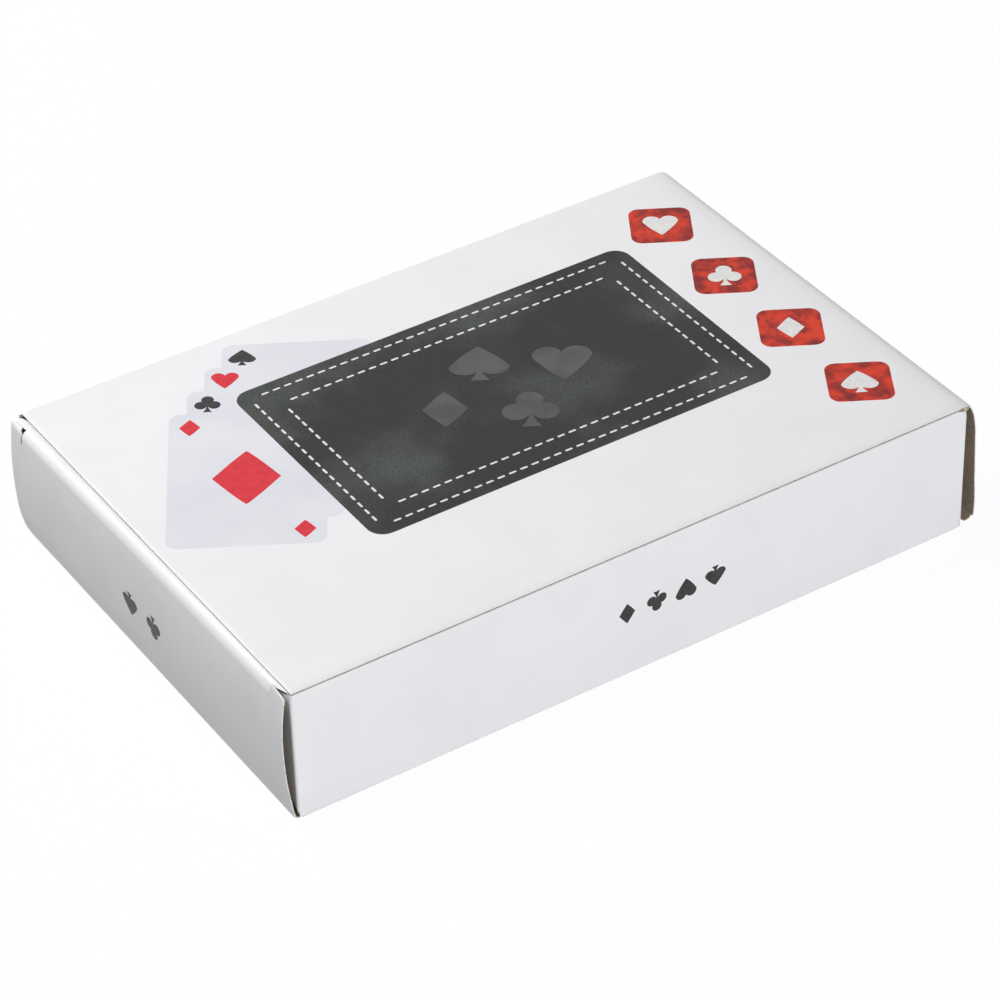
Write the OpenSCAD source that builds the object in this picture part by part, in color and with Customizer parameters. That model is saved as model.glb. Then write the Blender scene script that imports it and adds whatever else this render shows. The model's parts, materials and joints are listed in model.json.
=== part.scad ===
// Closed retail carton with two tuck ends, holding a leatherette case with two
// decks of playing cards and five dice. Millimetres, +Z up, +X along the carton,
// the front panel faces -Y. The origin is the centre of the carton's underside.
// Every size grows outward from the cards and the dice to the case and the carton.

/* [Playing cards] */
// Width of one card
card_width = 63; // [57:0.5:70]
// Length of one card
card_length = 88; // [84:0.5:96]
// Thickness of one card
card_thickness = 0.29; // [0.24:0.01:0.34]
// Air between two stacked cards
card_air = 0.01; // [0.005:0.005:0.03]
// Corner radius of a card
card_corner = 3.5; // [2:0.1:5]
// Cards in each suit
suit_count = 13; // [8:1:14]
// Jokers in each deck
joker_count = 2; // [1:1:4]

/* [Dice] */
// Edge length of a die
die_size = 16; // [13:0.5:18]
// Depth by which a die's corners are rounded off, along its diagonal
die_corner_cut = 2.76; // [1.8:0.02:3]
// Radius of a pip's pocket
pip_radius = 1.45; // [1:0.05:1.6]
// Depth of a pip's pocket
pip_depth = 0.5; // [0.3:0.05:1]
// Gap between a pip and its pocket, at the side and at the mouth
pip_clearance = 0.05; // [0.02:0.01:0.1]

/* [Case] */
// Room on each side of a deck in its well
card_play = 0.6; // [0.3:0.1:2]
// Room at each end of a deck, for the fingers
finger_room = 3.1; // [2:0.1:8]
// Room on each side of the row of dice
die_play = 0.5; // [0.3:0.1:2]
// Gap between two dice
die_gap = 1.5; // [0.5:0.1:2.5]
// Thickness of the two boards beside the dice
divider_thickness = 1.5; // [1:0.1:3]
// Thickness of the felt on the tray's floor
lining_thickness = 1; // [0.5:0.1:2]
// Thickness of the felt in the lid
lid_lining_thickness = 0.8; // [0.4:0.1:1.5]
// Gap between the lid's felt and the lip around it
lid_lining_gap = 0.6; // [0.4:0.1:2]
// Room between the decks and the lid's felt
head_room = 5.8; // [4.5:0.1:10]
// Thickness of the tray's wall boards
wall_thickness = 3; // [2:0.1:5]
// Thickness of the leatherette
leather_thickness = 0.8; // [0.5:0.05:1.5]
// Corner radius of the leatherette
leather_corner = 2; // [1:0.1:3]
// Thickness of the lip boards inside the walls
lip_thickness = 1.6; // [1:0.1:3]
// Height of the lip above the tray's rim
lip_rise = 2.2; // [1.6:0.1:4]
// Air between the lip and the lid
lid_seat = 0.05; // [0.02:0.01:0.2]
// Thickness of the base board
base_thickness = 2; // [1.5:0.1:4]
// Overhang of the base board around the tray
base_overhang = 0.6; // [0.4:0.1:2]
// Thickness of the lid with its leatherette
lid_thickness = 3.5; // [2.5:0.1:6]
// Height of the hinge strip below the tray's rim
spine_height = 12; // [6:0.5:18]
// Running gap around the hinge roll
spine_gap = 0.1; // [0.05:0.01:0.2]

/* [Stitching] */
// Length of one stitch
stitch_length = 2.2; // [1.5:0.1:4]
// Distance from one stitch to the next
stitch_pitch = 3.4; // [2.6:0.1:6]
// Width of the thread
stitch_width = 0.5; // [0.3:0.05:0.8]
// Height of the thread above the leatherette
stitch_height = 0.25; // [0.1:0.05:0.4]
// Distance from the lid's edge to its stitching
lid_stitch_inset = 2.6; // [1.5:0.1:6]
// Distance from the tray's rim to its stitching
tray_stitch_drop = 1.8; // [1:0.1:5]

/* [Carton sleeve] */
// Thickness of the carton board
board = 0.5; // [0.35:0.05:0.7]
// Outer radius of the sleeve's creases
crease_radius = 0.9; // [0.75:0.05:1.2]
// Room between the case and each long side of the carton
side_room = 4.9; // [4:0.1:10]
// Room between the case and the left dust flaps
left_room = 1; // [0.6:0.1:4]
// Air under the case
seat_air = 0.1; // [0.05:0.01:0.2]
// Width of the glue flap under the top panel
glue_flap_width = 12; // [6:0.5:20]
// Distance from the sleeve's ends to the glue flap
glue_flap_setback = 2; // [1:0.1:6]
// Distance from the front panel's face to the top panel's raw edge
seam_setback = 0.15; // [0.05:0.05:0.4]
// Side of the notch between two panels at each corner of the ends
corner_notch = 1.3; // [1.2:0.1:3]

/* [End flaps] */
// Running gap at a crease
crease_gap = 0.06; // [0.04:0.01:0.1]
// Gap at a tuck flap's crease, wide enough for the flap to fold in
tuck_crease_gap = 0.35; // [0.3:0.01:0.5]
// Length of a tuck flap from crease to tip
tuck_length = 12.5; // [10:0.1:15]
// Gap between a tuck flap's crease and the panel that it slides under
tuck_drop = 0.4; // [0.35:0.05:1.5]
// Angle by which a tuck flap leans away from the panel that it slides under
tuck_pitch = 6; // [5.5:0.25:9]
// Room between the tip of the left tuck flap and the case's lid
tuck_room = 0.8; // [0.6:0.1:4]
// Room between the tip of the right tuck flap and the case
tip_room = 0.6; // [0.5:0.1:4]
// Corner radius of a tuck flap's tip
tuck_corner = 5; // [2:0.1:8]
// Length of the slit at each end of a tuck flap's crease
slit_length = 5; // [3:0.1:10]
// Gap between a tuck flap and the ears beside it
slit_gap = 0.3; // [0.2:0.05:1]
// Height of a closure's ears past the tuck flap's crease
ear_rise = 0.2; // [0.1:0.05:0.35]
// Greatest outward reach of a closure from its crease line
closure_bulge = 3.35; // [2.5:0.05:4]
// Outward reach at the left tuck crease, as a share of the greatest reach
left_crease_share = 0.7; // [0.5:0.01:0.95]
// Outward reach at the right tuck crease, as a share of the greatest reach
right_crease_share = 0.9; // [0.5:0.01:0.95]
// Distance from the sleeve's sides to a closure's side edges
closure_inset = 0.5; // [0.3:0.1:2]
// Distance from the ends of the top and bottom panels to the dust flaps
dust_setback = 0.6; // [0.4:0.05:1]
// Length of a dust flap from crease to tip
dust_length = 20; // [12:0.5:21]
// Gap between a dust flap and the panel that carries its closure
dust_panel_gap = 1.5; // [1:0.1:4]
// Gap between a dust flap and the tuck flap beyond it
dust_tuck_gap = 0.7; // [0.5:0.1:4]
// Taper of a dust flap's edge on the closure's crease side, as a share of its height
dust_crease_taper_share = 0.42; // [0.4:0.01:0.5]
// Taper of a dust flap's edge on the tuck side, as a share of its height
dust_tuck_taper_share = 0.14; // [0.12:0.01:0.3]

/* [Hidden] */
$fn = 96;
bow_facets = 720;
overrun = 1;

deck_places = [-1, 1];
suit_firsts = [for (i = [0:4]) i * suit_count];
deck_count = 4 * suit_count + joker_count;
card_pitch = card_thickness + card_air;
deck_height = deck_count * card_pitch;

die_count = 5;
die_ball = die_size * sqrt(3) / 2 - die_corner_cut;
pip_spread_share = 0.25;
pip_spread = die_size * pip_spread_share;
die_turns = [[0, 0, 0], [0, -90, 0], [-90, 0, 90], [90, 0, 0], [180, 0, 90]];
face_turns = [[0, 0, 0], [90, 0, 0], [0, 90, 0], [0, -90, 0], [-90, 0, 0], [180, 0, 0]];
pip_layouts = [
    [[0, 0]],
    [[-1, -1], [1, 1]],
    [[-1, -1], [0, 0], [1, 1]],
    [[-1, -1], [-1, 1], [1, -1], [1, 1]],
    [[-1, -1], [-1, 1], [0, 0], [1, -1], [1, 1]],
    [[-1, -1], [-1, 0], [-1, 1], [1, -1], [1, 0], [1, 1]]
];

well_width = card_width + 2 * card_play;
channel_width = die_size + 2 * die_play;
dice_row = die_count * die_size + (die_count - 1) * die_gap;
cavity_length = 2 * well_width + 2 * divider_thickness + channel_width;
cavity_width = max(card_length + 2 * finger_room, dice_row + 2 * die_play);
lip_length = cavity_length + 2 * lip_thickness;
lip_width = cavity_width + 2 * lip_thickness;
core_length = lip_length + 2 * wall_thickness;
core_width = lip_width + 2 * wall_thickness;
tray_length = core_length + 2 * leather_thickness;
tray_width = core_width + 2 * leather_thickness;
base_length = tray_length + 2 * base_overhang;
base_width = tray_width + 2 * base_overhang;
leather_corner_limit_share = 2.5;
leather_round = min(leather_corner, leather_thickness * leather_corner_limit_share);

content_height = max(deck_height, die_size);
tray_height = lining_thickness + content_height + head_room + lid_lining_thickness - lip_rise;
lip_height = tray_height + lip_rise;
case_height = base_thickness + tray_height + lip_rise + lid_seat + lid_thickness;

left_crease_out = closure_bulge * left_crease_share;
right_crease_out = closure_bulge * right_crease_share;
bead_offset = crease_gap + board / 2;
tuck_reach = tuck_length - right_crease_out - bead_offset;
tuck_fall = tuck_length * sin(tuck_pitch);
dust_fall = (closure_bulge + bead_offset + dust_setback) * tan(tuck_pitch);

carton_length = dust_setback + board / 2 + left_room + base_length + tip_room + tuck_reach;
carton_width = base_width + 2 * side_room + 2 * board;
carton_height = board + seat_air + case_height + tuck_room + tuck_fall + board + tuck_drop + board;

case_x = -carton_length / 2 + dust_setback + board / 2 + left_room + base_length / 2;
case_z = board + seat_air;
tray_z = case_z + base_thickness;
floor_z = tray_z + lining_thickness;
rim_z = tray_z + tray_height;
lid_z = rim_z + lip_rise + lid_seat;
lid_top_z = lid_z + lid_thickness;
deck_x = channel_width / 2 + divider_thickness + well_width / 2;

spine_roll = lip_rise / 2 - spine_gap;
spine_y = tray_width / 2 + leather_thickness - spine_roll;
spine_z = rim_z + lip_rise / 2;

side_end = carton_length / 2 - dust_setback - bead_offset;
closure_width = carton_width - 2 * closure_inset;
closure_height = carton_height - 2 * board - tuck_drop;
tuck_width = closure_width - 2 * slit_length - 2 * slit_gap;
dust_low = board + dust_panel_gap;
dust_height = closure_height - dust_fall - dust_tuck_gap - dust_low;

// Rectangle with round corners, centred on the origin
module round_rect(length, width, radius) {
    square([length - 2 * radius, width], center = true);
    square([length, width - 2 * radius], center = true);
    for (x = [-1, 1], y = [-1, 1]) {
        translate([x * (length / 2 - radius), y * (width / 2 - radius)])
            circle(r = radius);
    }
}

// Block of the case, centred in X and Y on the case, standing at height z
module case_block(length, width, height, z, x = 0, y = 0) {
    translate([case_x + x - length / 2, y - width / 2, z])
        cube([length, width, height]);
}

// Prism of the case with round upright corners
module case_prism(length, width, height, z, radius) {
    translate([case_x, 0, z])
        linear_extrude(height)
            round_rect(length, width, radius);
}

// Cross-section of a folded sheet: three creased corners and one square corner
module creased_outline(width, height, radius) {
    translate([-width / 2, radius])
        square([width, height - 2 * radius]);
    translate([-width / 2 + radius, 0])
        square([width - 2 * radius, radius]);
    translate([-width / 2, height - radius])
        square([width - radius, radius]);
    for (place = [[-width / 2 + radius, radius],
                  [width / 2 - radius, radius],
                  [width / 2 - radius, height - radius]]) {
        translate(place)
            circle(r = radius);
    }
}

// Cross-section of the sleeve, with the glue flap under the top panel's raw edge
module sleeve_outline() {
    difference() {
        creased_outline(carton_width, carton_height, crease_radius);
        translate([0, board])
            creased_outline(carton_width - 2 * board, carton_height - 2 * board, crease_radius - board);
        translate([-carton_width / 2 - overrun, carton_height - board])
            square([seam_setback + overrun, board + overrun]);
    }
}

module carton_sleeve() {
    color("whitesmoke") {
        difference() {
            rotate([90, 0, 90])
                linear_extrude(carton_length, center = true)
                    sleeve_outline();
            for (x = [-1, 1], y = [-1, 1]) {
                translate([x * (side_end + carton_length / 2 + overrun) / 2,
                           y * (carton_width - corner_notch + overrun) / 2, carton_height / 2])
                    cube([carton_length / 2 + overrun - side_end, corner_notch + overrun,
                          carton_height + 2 * overrun], center = true);
            }
        }
        translate([glue_flap_setback - carton_length / 2, board - carton_width / 2,
                   carton_height - 2 * board])
            cube([carton_length - 2 * glue_flap_setback, glue_flap_width, board]);
    }
}

// Height of the bow's centre above the crease line, and the bow's radius. The bow
// passes the crease line, the tuck crease and the greatest outward reach.
function bow_height(out) =
    (closure_bulge * closure_height
     - sqrt(closure_bulge * (closure_bulge - out) * (closure_height * closure_height + out * out))) / out;
function bow_radius(out) = (pow(closure_bulge, 2) + pow(bow_height(out), 2)) / (2 * closure_bulge);
function bow_start(out) = -asin(bow_height(out) / bow_radius(out));
function bow_end(out) =
    atan2(closure_height - bow_height(out), bow_radius(out) - closure_bulge + out);
function bow_turn(out, length) = length / bow_radius(out) * 180 / PI;

// Strip of the bow between two angles, its crease line along Y at the origin
module bow_strip(out, start, end, width, thickness) {
    radius = bow_radius(out);
    reach = 2 * radius;
    middle = (start + end) / 2;
    rotate([90, 0, 0])
        linear_extrude(width, center = true)
            translate([closure_bulge - radius, bow_height(out)])
                intersection() {
                    difference() {
                        circle(r = radius + thickness / 2, $fn = bow_facets);
                        circle(r = radius - thickness / 2, $fn = bow_facets);
                    }
                    polygon([[0, 0],
                             [reach * cos(start), reach * sin(start)],
                             [reach * cos(middle), reach * sin(middle)],
                             [reach * cos(end), reach * sin(end)]]);
                }
}

// Round bead along a crease
module crease_bead(length) {
    rotate([90, 0, 0])
        cylinder(r = board / 2, h = length, center = true);
}

// Bowed closure panel that stands outward (+X) of its crease, with an ear at each end
module closure_panel(out) {
    tip = bow_end(out) + bow_turn(out, ear_rise);
    difference() {
        union() {
            bow_strip(out, bow_start(out), tip, closure_width, board);
            crease_bead(closure_width);
        }
        bow_strip(out, bow_end(out) - bow_turn(out, board / 2 + tuck_crease_gap),
                  tip + bow_turn(out, overrun),
                  closure_width - 2 * slit_length, board + 2 * overrun);
    }
}

// Tuck flap that runs back (-X) and leans in from the closure's upper crease
module tuck_panel(out) {
    translate([out, 0, closure_height])
        rotate([0, -tuck_pitch, 0]) {
            crease_bead(tuck_width);
            translate([0, 0, -board / 2])
                linear_extrude(board) {
                    translate([tuck_corner - tuck_length, -tuck_width / 2])
                        square([tuck_length - tuck_corner, tuck_width]);
                    translate([-tuck_length, tuck_corner - tuck_width / 2])
                        square([tuck_corner, tuck_width - 2 * tuck_corner]);
                    for (y = [-1, 1]) {
                        translate([tuck_corner - tuck_length, y * (tuck_width / 2 - tuck_corner)])
                            circle(r = tuck_corner);
                    }
                }
        }
}

// Places what is drawn for an upright crease line at the left end's bottom crease
module at_left_end() {
    translate([-carton_length / 2 - bead_offset, 0, board / 2])
        mirror([1, 0, 0])
            children();
}

// The same at the right end's top crease, upside down
module at_right_end() {
    translate([carton_length / 2 + bead_offset, 0, carton_height - board / 2])
        mirror([0, 0, 1])
            children();
}

module left_closure() {
    color("white")
        at_left_end()
            closure_panel(left_crease_out);
}

module left_tuck() {
    color("whitesmoke")
        at_left_end()
            tuck_panel(left_crease_out);
}

module right_closure() {
    color("white")
        at_right_end()
            closure_panel(right_crease_out);
}

module right_tuck() {
    color("whitesmoke")
        at_right_end()
            tuck_panel(right_crease_out);
}

// Dust flap that runs along +Y from its upright crease bead, with the long taper low
module dust_panel() {
    cylinder(r = board / 2, h = dust_height);
    rotate([90, 0, 90])
        linear_extrude(board, center = true)
            polygon([[0, 0], [dust_length, dust_height * dust_crease_taper_share],
                     [dust_length, dust_height * (1 - dust_tuck_taper_share)], [0, dust_height]]);
}

// Dust flap of the front panel (side -1) or of the rear panel (side 1)
module left_dust_flap(side) {
    color("lightgray")
        translate([-carton_length / 2 + dust_setback, side * (carton_width - board) / 2, dust_low])
            mirror([0, side + 1, 0])
                dust_panel();
}

module right_dust_flap(side) {
    color("lightgray")
        translate([carton_length / 2 - dust_setback, side * (carton_width - board) / 2,
                   carton_height - dust_low])
            mirror([0, side + 1, 0])
                mirror([0, 0, 1])
                    dust_panel();
}

module case_base_board() {
    color("#161618")
        case_prism(base_length, base_width, base_thickness, case_z, leather_round + base_overhang);
}

// Long wall board at the front (side -1) or at the rear (side 1)
module long_wall(side) {
    color("#8a7a66")
        case_block(core_length, wall_thickness, tray_height - leather_thickness, tray_z,
                   y = side * (lip_width + wall_thickness) / 2);
}

// Short wall board between the long ones, at the left (-1) or at the right (1)
module short_wall(side) {
    color("#8a7a66")
        case_block(wall_thickness, lip_width, tray_height - leather_thickness, tray_z,
                   x = side * (lip_length + wall_thickness) / 2);
}

// Leatherette around the walls and over their top edges
module tray_leather() {
    color("#1c1c1f")
        difference() {
            case_prism(tray_length, tray_width, tray_height, tray_z, leather_round);
            case_block(core_length, core_width, tray_height - leather_thickness + overrun,
                       tray_z - overrun);
            case_block(lip_length, lip_width, tray_height + 2 * overrun, tray_z - overrun);
        }
}

// Long board inside the wall that stands above the rim and guides the lid
module long_lip(side) {
    color("#101012")
        case_block(lip_length, lip_thickness, lip_height, tray_z,
                   y = side * (cavity_width + lip_thickness) / 2);
}

// Short board of the same lip, between the long ones
module short_lip(side) {
    color("#101012")
        case_block(lip_thickness, cavity_width, lip_height, tray_z,
                   x = side * (cavity_length + lip_thickness) / 2);
}

module tray_lining() {
    color("#26262b")
        case_block(cavity_length, cavity_width, lining_thickness, tray_z);
}

// Board between a deck and the dice, at the left (-1) or at the right (1)
module divider(side) {
    color("#202024")
        case_block(divider_thickness, cavity_width, content_height, floor_z,
                   x = side * (channel_width + divider_thickness) / 2);
}

// Row of stitches along X, centred on the origin, on top of the XY plane
module stitch_row(length) {
    count = floor((length - stitch_length) / stitch_pitch) + 1;
    for (i = [0:count - 1]) {
        translate([(i - (count - 1) / 2) * stitch_pitch - stitch_length / 2, -stitch_width / 2, 0])
            cube([stitch_length, stitch_width, stitch_height]);
    }
}

// Stitches on the tray's front and on its two short sides
module tray_stitching() {
    z = rim_z - tray_stitch_drop;
    inset = 2 * leather_round;
    color("ivory") {
        translate([case_x, -tray_width / 2, z])
            rotate([90, 0, 0])
                stitch_row(tray_length - inset);
        for (side = [-1, 1]) {
            translate([case_x + side * tray_length / 2, 0, z])
                rotate([90, 0, side * 90])
                    stitch_row(tray_width - inset);
        }
    }
}

// Leatherette strip on the tray's back, with the roll that the lid turns on
module hinge_spine() {
    color("#1c1c1f") {
        case_block(tray_length - 2 * leather_round, leather_thickness, spine_height + lip_rise / 2,
                   rim_z - spine_height, y = (tray_width + leather_thickness) / 2);
        translate([case_x, spine_y, spine_z])
            rotate([0, 90, 0])
                cylinder(r = spine_roll, h = tray_length - 2 * leather_round, center = true);
    }
}

module lid_board() {
    color("#8a7a66")
        case_block(core_length, core_width, lid_thickness - leather_thickness, lid_z);
}

module lid_leather() {
    color("#1c1c1f")
        difference() {
            case_prism(tray_length, tray_width, lid_thickness, lid_z, leather_round);
            case_block(core_length, core_width, lid_thickness - leather_thickness + overrun,
                       lid_z - overrun);
        }
}

module lid_lining() {
    color("#26262b")
        case_block(cavity_length - 2 * lid_lining_gap, cavity_width - 2 * lid_lining_gap,
                   lid_lining_thickness, lid_z - lid_lining_thickness);
}

// Stitches on top of the lid, along its front and its two short sides
module lid_stitching() {
    corner = 2 * lid_stitch_inset + 2 * stitch_width;
    color("ivory") {
        translate([case_x, lid_stitch_inset - tray_width / 2, lid_top_z])
            stitch_row(tray_length - corner);
        for (side = [-1, 1]) {
            translate([case_x + side * (tray_length / 2 - lid_stitch_inset), 0, lid_top_z])
                rotate([0, 0, 90])
                    stitch_row(tray_width - corner - 2 * stitch_length);
        }
    }
}

// Stack of cards of one suit: deck 0 lies at the left, deck 1 at the right
module card_stack(deck, first, count) {
    color("white")
        for (i = [first:first + count - 1]) {
            translate([case_x + deck_places[deck] * deck_x, 0, floor_z + i * card_pitch])
                linear_extrude(card_thickness)
                    round_rect(card_width, card_length, card_corner);
        }
}

module deck_suit(deck, suit) {
    card_stack(deck, suit_firsts[suit], suit_count);
}

module deck_jokers(deck) {
    card_stack(deck, suit_firsts[4], joker_count);
}

// Places a die in the row between the dividers, each turned another way
module at_die(index) {
    translate([case_x, (index - (die_count - 1) / 2) * (die_size + die_gap), floor_z + die_size / 2])
        rotate(die_turns[index])
            children();
}

// Cylinders at all 21 places of a die's pips, up from the pockets' floors
module pip_places(radius, height) {
    for (face = [0:5]) {
        rotate(face_turns[face])
            for (place = pip_layouts[face]) {
                translate([place[0] * pip_spread, place[1] * pip_spread, die_size / 2 - pip_depth])
                    cylinder(r = radius, h = height);
            }
    }
}

module die(index) {
    color("crimson")
        at_die(index)
            difference() {
                intersection() {
                    cube(die_size, center = true);
                    sphere(r = die_ball);
                }
                pip_places(pip_radius, pip_depth + overrun);
            }
}

module die_pips(index) {
    color("white")
        at_die(index)
            pip_places(pip_radius - pip_clearance, pip_depth - pip_clearance);
}

carton_sleeve();
left_closure();
left_tuck();
left_dust_flap(-1);  // left_front_dust_flap
left_dust_flap(1);  // left_rear_dust_flap
right_closure();
right_tuck();
right_dust_flap(-1);  // right_front_dust_flap
right_dust_flap(1);  // right_rear_dust_flap
case_base_board();
long_wall(-1);  // tray_front_wall
long_wall(1);  // tray_rear_wall
short_wall(-1);  // tray_left_wall
short_wall(1);  // tray_right_wall
tray_leather();
long_lip(-1);  // tray_front_lip
long_lip(1);  // tray_rear_lip
short_lip(-1);  // tray_left_lip
short_lip(1);  // tray_right_lip
tray_lining();
divider(-1);  // left_divider
divider(1);  // right_divider
tray_stitching();
hinge_spine();
lid_board();
lid_leather();
lid_lining();
lid_stitching();
deck_suit(0, 0);  // deck_1_spades
deck_suit(0, 1);  // deck_1_hearts
deck_suit(0, 2);  // deck_1_clubs
deck_suit(0, 3);  // deck_1_diamonds
deck_jokers(0);  // deck_1_jokers
deck_suit(1, 0);  // deck_2_spades
deck_suit(1, 1);  // deck_2_hearts
deck_suit(1, 2);  // deck_2_clubs
deck_suit(1, 3);  // deck_2_diamonds
deck_jokers(1);  // deck_2_jokers
die(0);  // die_1
die(1);  // die_2
die(2);  // die_3
die(3);  // die_4
die(4);  // die_5
die_pips(0);  // die_1_pips
die_pips(1);  // die_2_pips
die_pips(2);  // die_3_pips
die_pips(3);  // die_4_pips
die_pips(4);  // die_5_pips
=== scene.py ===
"""Looks of a boxed playing card set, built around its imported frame.

Sizes are millimetres until a mesh is filled, which is in metres. +X runs along the
carton, the front panel faces -Y and the underside lies on z = 0.
"""

import json
import logging
import math
from dataclasses import dataclass
from enum import Enum
from typing import Any, Optional, Sequence, Union

import bmesh
import bpy
import numpy as np
from mathutils import Matrix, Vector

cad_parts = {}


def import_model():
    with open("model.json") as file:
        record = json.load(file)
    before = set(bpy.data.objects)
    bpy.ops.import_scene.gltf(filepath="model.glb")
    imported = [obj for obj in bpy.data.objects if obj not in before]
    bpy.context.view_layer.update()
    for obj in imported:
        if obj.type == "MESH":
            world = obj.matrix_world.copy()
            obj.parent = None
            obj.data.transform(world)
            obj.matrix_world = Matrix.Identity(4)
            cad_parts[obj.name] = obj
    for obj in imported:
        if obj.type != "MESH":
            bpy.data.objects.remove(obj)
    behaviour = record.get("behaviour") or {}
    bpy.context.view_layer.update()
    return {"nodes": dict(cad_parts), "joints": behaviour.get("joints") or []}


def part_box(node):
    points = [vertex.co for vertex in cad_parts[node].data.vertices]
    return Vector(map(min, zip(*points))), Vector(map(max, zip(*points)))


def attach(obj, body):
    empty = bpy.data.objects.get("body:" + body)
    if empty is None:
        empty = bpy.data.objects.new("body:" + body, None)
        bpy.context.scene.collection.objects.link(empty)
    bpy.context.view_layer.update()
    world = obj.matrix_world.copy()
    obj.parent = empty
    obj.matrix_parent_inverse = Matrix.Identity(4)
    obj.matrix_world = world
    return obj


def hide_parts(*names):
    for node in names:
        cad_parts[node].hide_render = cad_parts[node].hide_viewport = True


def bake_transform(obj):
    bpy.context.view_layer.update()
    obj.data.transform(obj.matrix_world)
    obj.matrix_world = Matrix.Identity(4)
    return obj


MM = 0.001
MERGE = 0.001
TINY = 1e-12
WHITE = (1.0, 1.0, 1.0, 1.0)
MIX_COLOURS = (6, 7)
MIX_RESULT = 2
LOG = logging.getLogger("card_set")

Array = np.ndarray
Material = bpy.types.Material
Piece = bpy.types.Object
Pair = tuple[float, float]
Triple = tuple[float, float, float]
Colour = Triple
Knots = Sequence[Pair]
Number = Union["Wire", float]


class Wire:
    """One value of a shader. An operator on it adds a Math node."""

    def __init__(self, nodes: "Nodes", socket: bpy.types.NodeSocket) -> None:
        """Keep the tree that the value belongs to and the socket that gives it."""
        self.nodes = nodes
        self.socket = socket

    def math(self, operation: str, *terms: Number) -> "Wire":
        """Add one Math node.

        Args:
            operation: The node's operation.
            terms: Its inputs in order.

        Returns:
            The result.
        """
        return self.nodes.value("ShaderNodeMath", {"operation": operation}, dict(enumerate(terms)))

    def __add__(self, other: Number) -> "Wire":
        """Sum."""
        return self.math("ADD", self, other)

    def __radd__(self, other: Number) -> "Wire":
        """Sum with the number first."""
        return self.math("ADD", other, self)

    def __sub__(self, other: Number) -> "Wire":
        """Difference."""
        return self.math("SUBTRACT", self, other)

    def __rsub__(self, other: Number) -> "Wire":
        """Difference with the number first."""
        return self.math("SUBTRACT", other, self)

    def __mul__(self, other: Number) -> "Wire":
        """Product."""
        return self.math("MULTIPLY", self, other)

    def __rmul__(self, other: Number) -> "Wire":
        """Product with the number first."""
        return self.math("MULTIPLY", other, self)

    def __abs__(self) -> "Wire":
        """Size without sign."""
        return self.math("ABSOLUTE", self)

    def sine(self) -> "Wire":
        """Sine of the value in radians."""
        return self.math("SINE", self)

    def below(self, edge: float) -> "Wire":
        """1 where the value is under the edge, else 0."""
        return self.math("LESS_THAN", self, edge)

    def above(self, edge: float) -> "Wire":
        """1 where the value is over the edge, else 0."""
        return self.math("GREATER_THAN", self, edge)

    def step(self, start: float, end: float) -> "Wire":
        """Smooth step.

        Args:
            start: Value up to which it is 0.
            end: Value from which it is 1.

        Returns:
            The step.
        """
        return self.nodes.value(
            "ShaderNodeMapRange",
            {"interpolation_type": "SMOOTHSTEP"},
            {0: self, 1: start, 2: end},
        )


class Nodes:
    """A node tree under construction."""

    def __init__(self, tree: bpy.types.NodeTree) -> None:
        """Keep the tree."""
        self.tree = tree

    def node(
        self,
        kind: str,
        settings: Optional[dict[str, Any]] = None,
        sockets: Optional[dict[Any, Any]] = None,
    ) -> bpy.types.Node:
        """Add any node.

        Args:
            kind: The node's type.
            settings: Its properties, set first.
            sockets: Values or wires of its inputs, by name or number.

        Returns:
            The node.
        """
        made = self.tree.nodes.new(kind)
        for key, setting in (settings or {}).items():
            setattr(made, key, setting)
        for key, term in (sockets or {}).items():
            self.plug(made.inputs[key], term)
        return made

    def plug(self, socket: bpy.types.NodeSocket, term: Any) -> None:
        """Link a wire to a socket, or set a constant on it.

        Args:
            socket: The input.
            term: A wire, or the constant.
        """
        if isinstance(term, Wire):
            self.tree.links.new(term.socket, socket)
        else:
            socket.default_value = term

    def value(
        self,
        kind: str,
        settings: Optional[dict[str, Any]] = None,
        sockets: Optional[dict[Any, Any]] = None,
        output: Union[int, str] = 0,
    ) -> Wire:
        """Add any node and return one of its outputs as a wire."""
        return Wire(self, self.node(kind, settings, sockets).outputs[output])

    def parts(self, vector: Wire) -> list[Wire]:
        """The three numbers of a vector."""
        split = self.node("ShaderNodeSeparateXYZ", sockets={0: vector})
        return [Wire(self, output) for output in split.outputs]

    def seen(self) -> Wire:
        """Tell the rays that show the background: from the camera, in gloss or through glass.

        Returns:
            1 for such a ray, else 0.
        """
        path = self.node("ShaderNodeLightPath")
        kinds = ("Camera", "Glossy", "Transmission")
        camera, gloss, glass = (Wire(self, path.outputs[f"Is {kind} Ray"]) for kind in kinds)
        shown = camera.math("MAXIMUM", camera, gloss)
        return shown.math("MAXIMUM", shown, glass)

    def show(self, output: str, share: Wire, first: Wire, second: Wire) -> None:
        """Send a mix of two shaders to an output node.

        Args:
            output: The output node's name.
            share: How much of the second shader is in the mix.
            first: The first shader.
            second: The second shader.
        """
        mixed = self.value("ShaderNodeMixShader", sockets={0: share, 1: first, 2: second})
        self.plug(self.tree.nodes[output].inputs[0], mixed)


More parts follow.
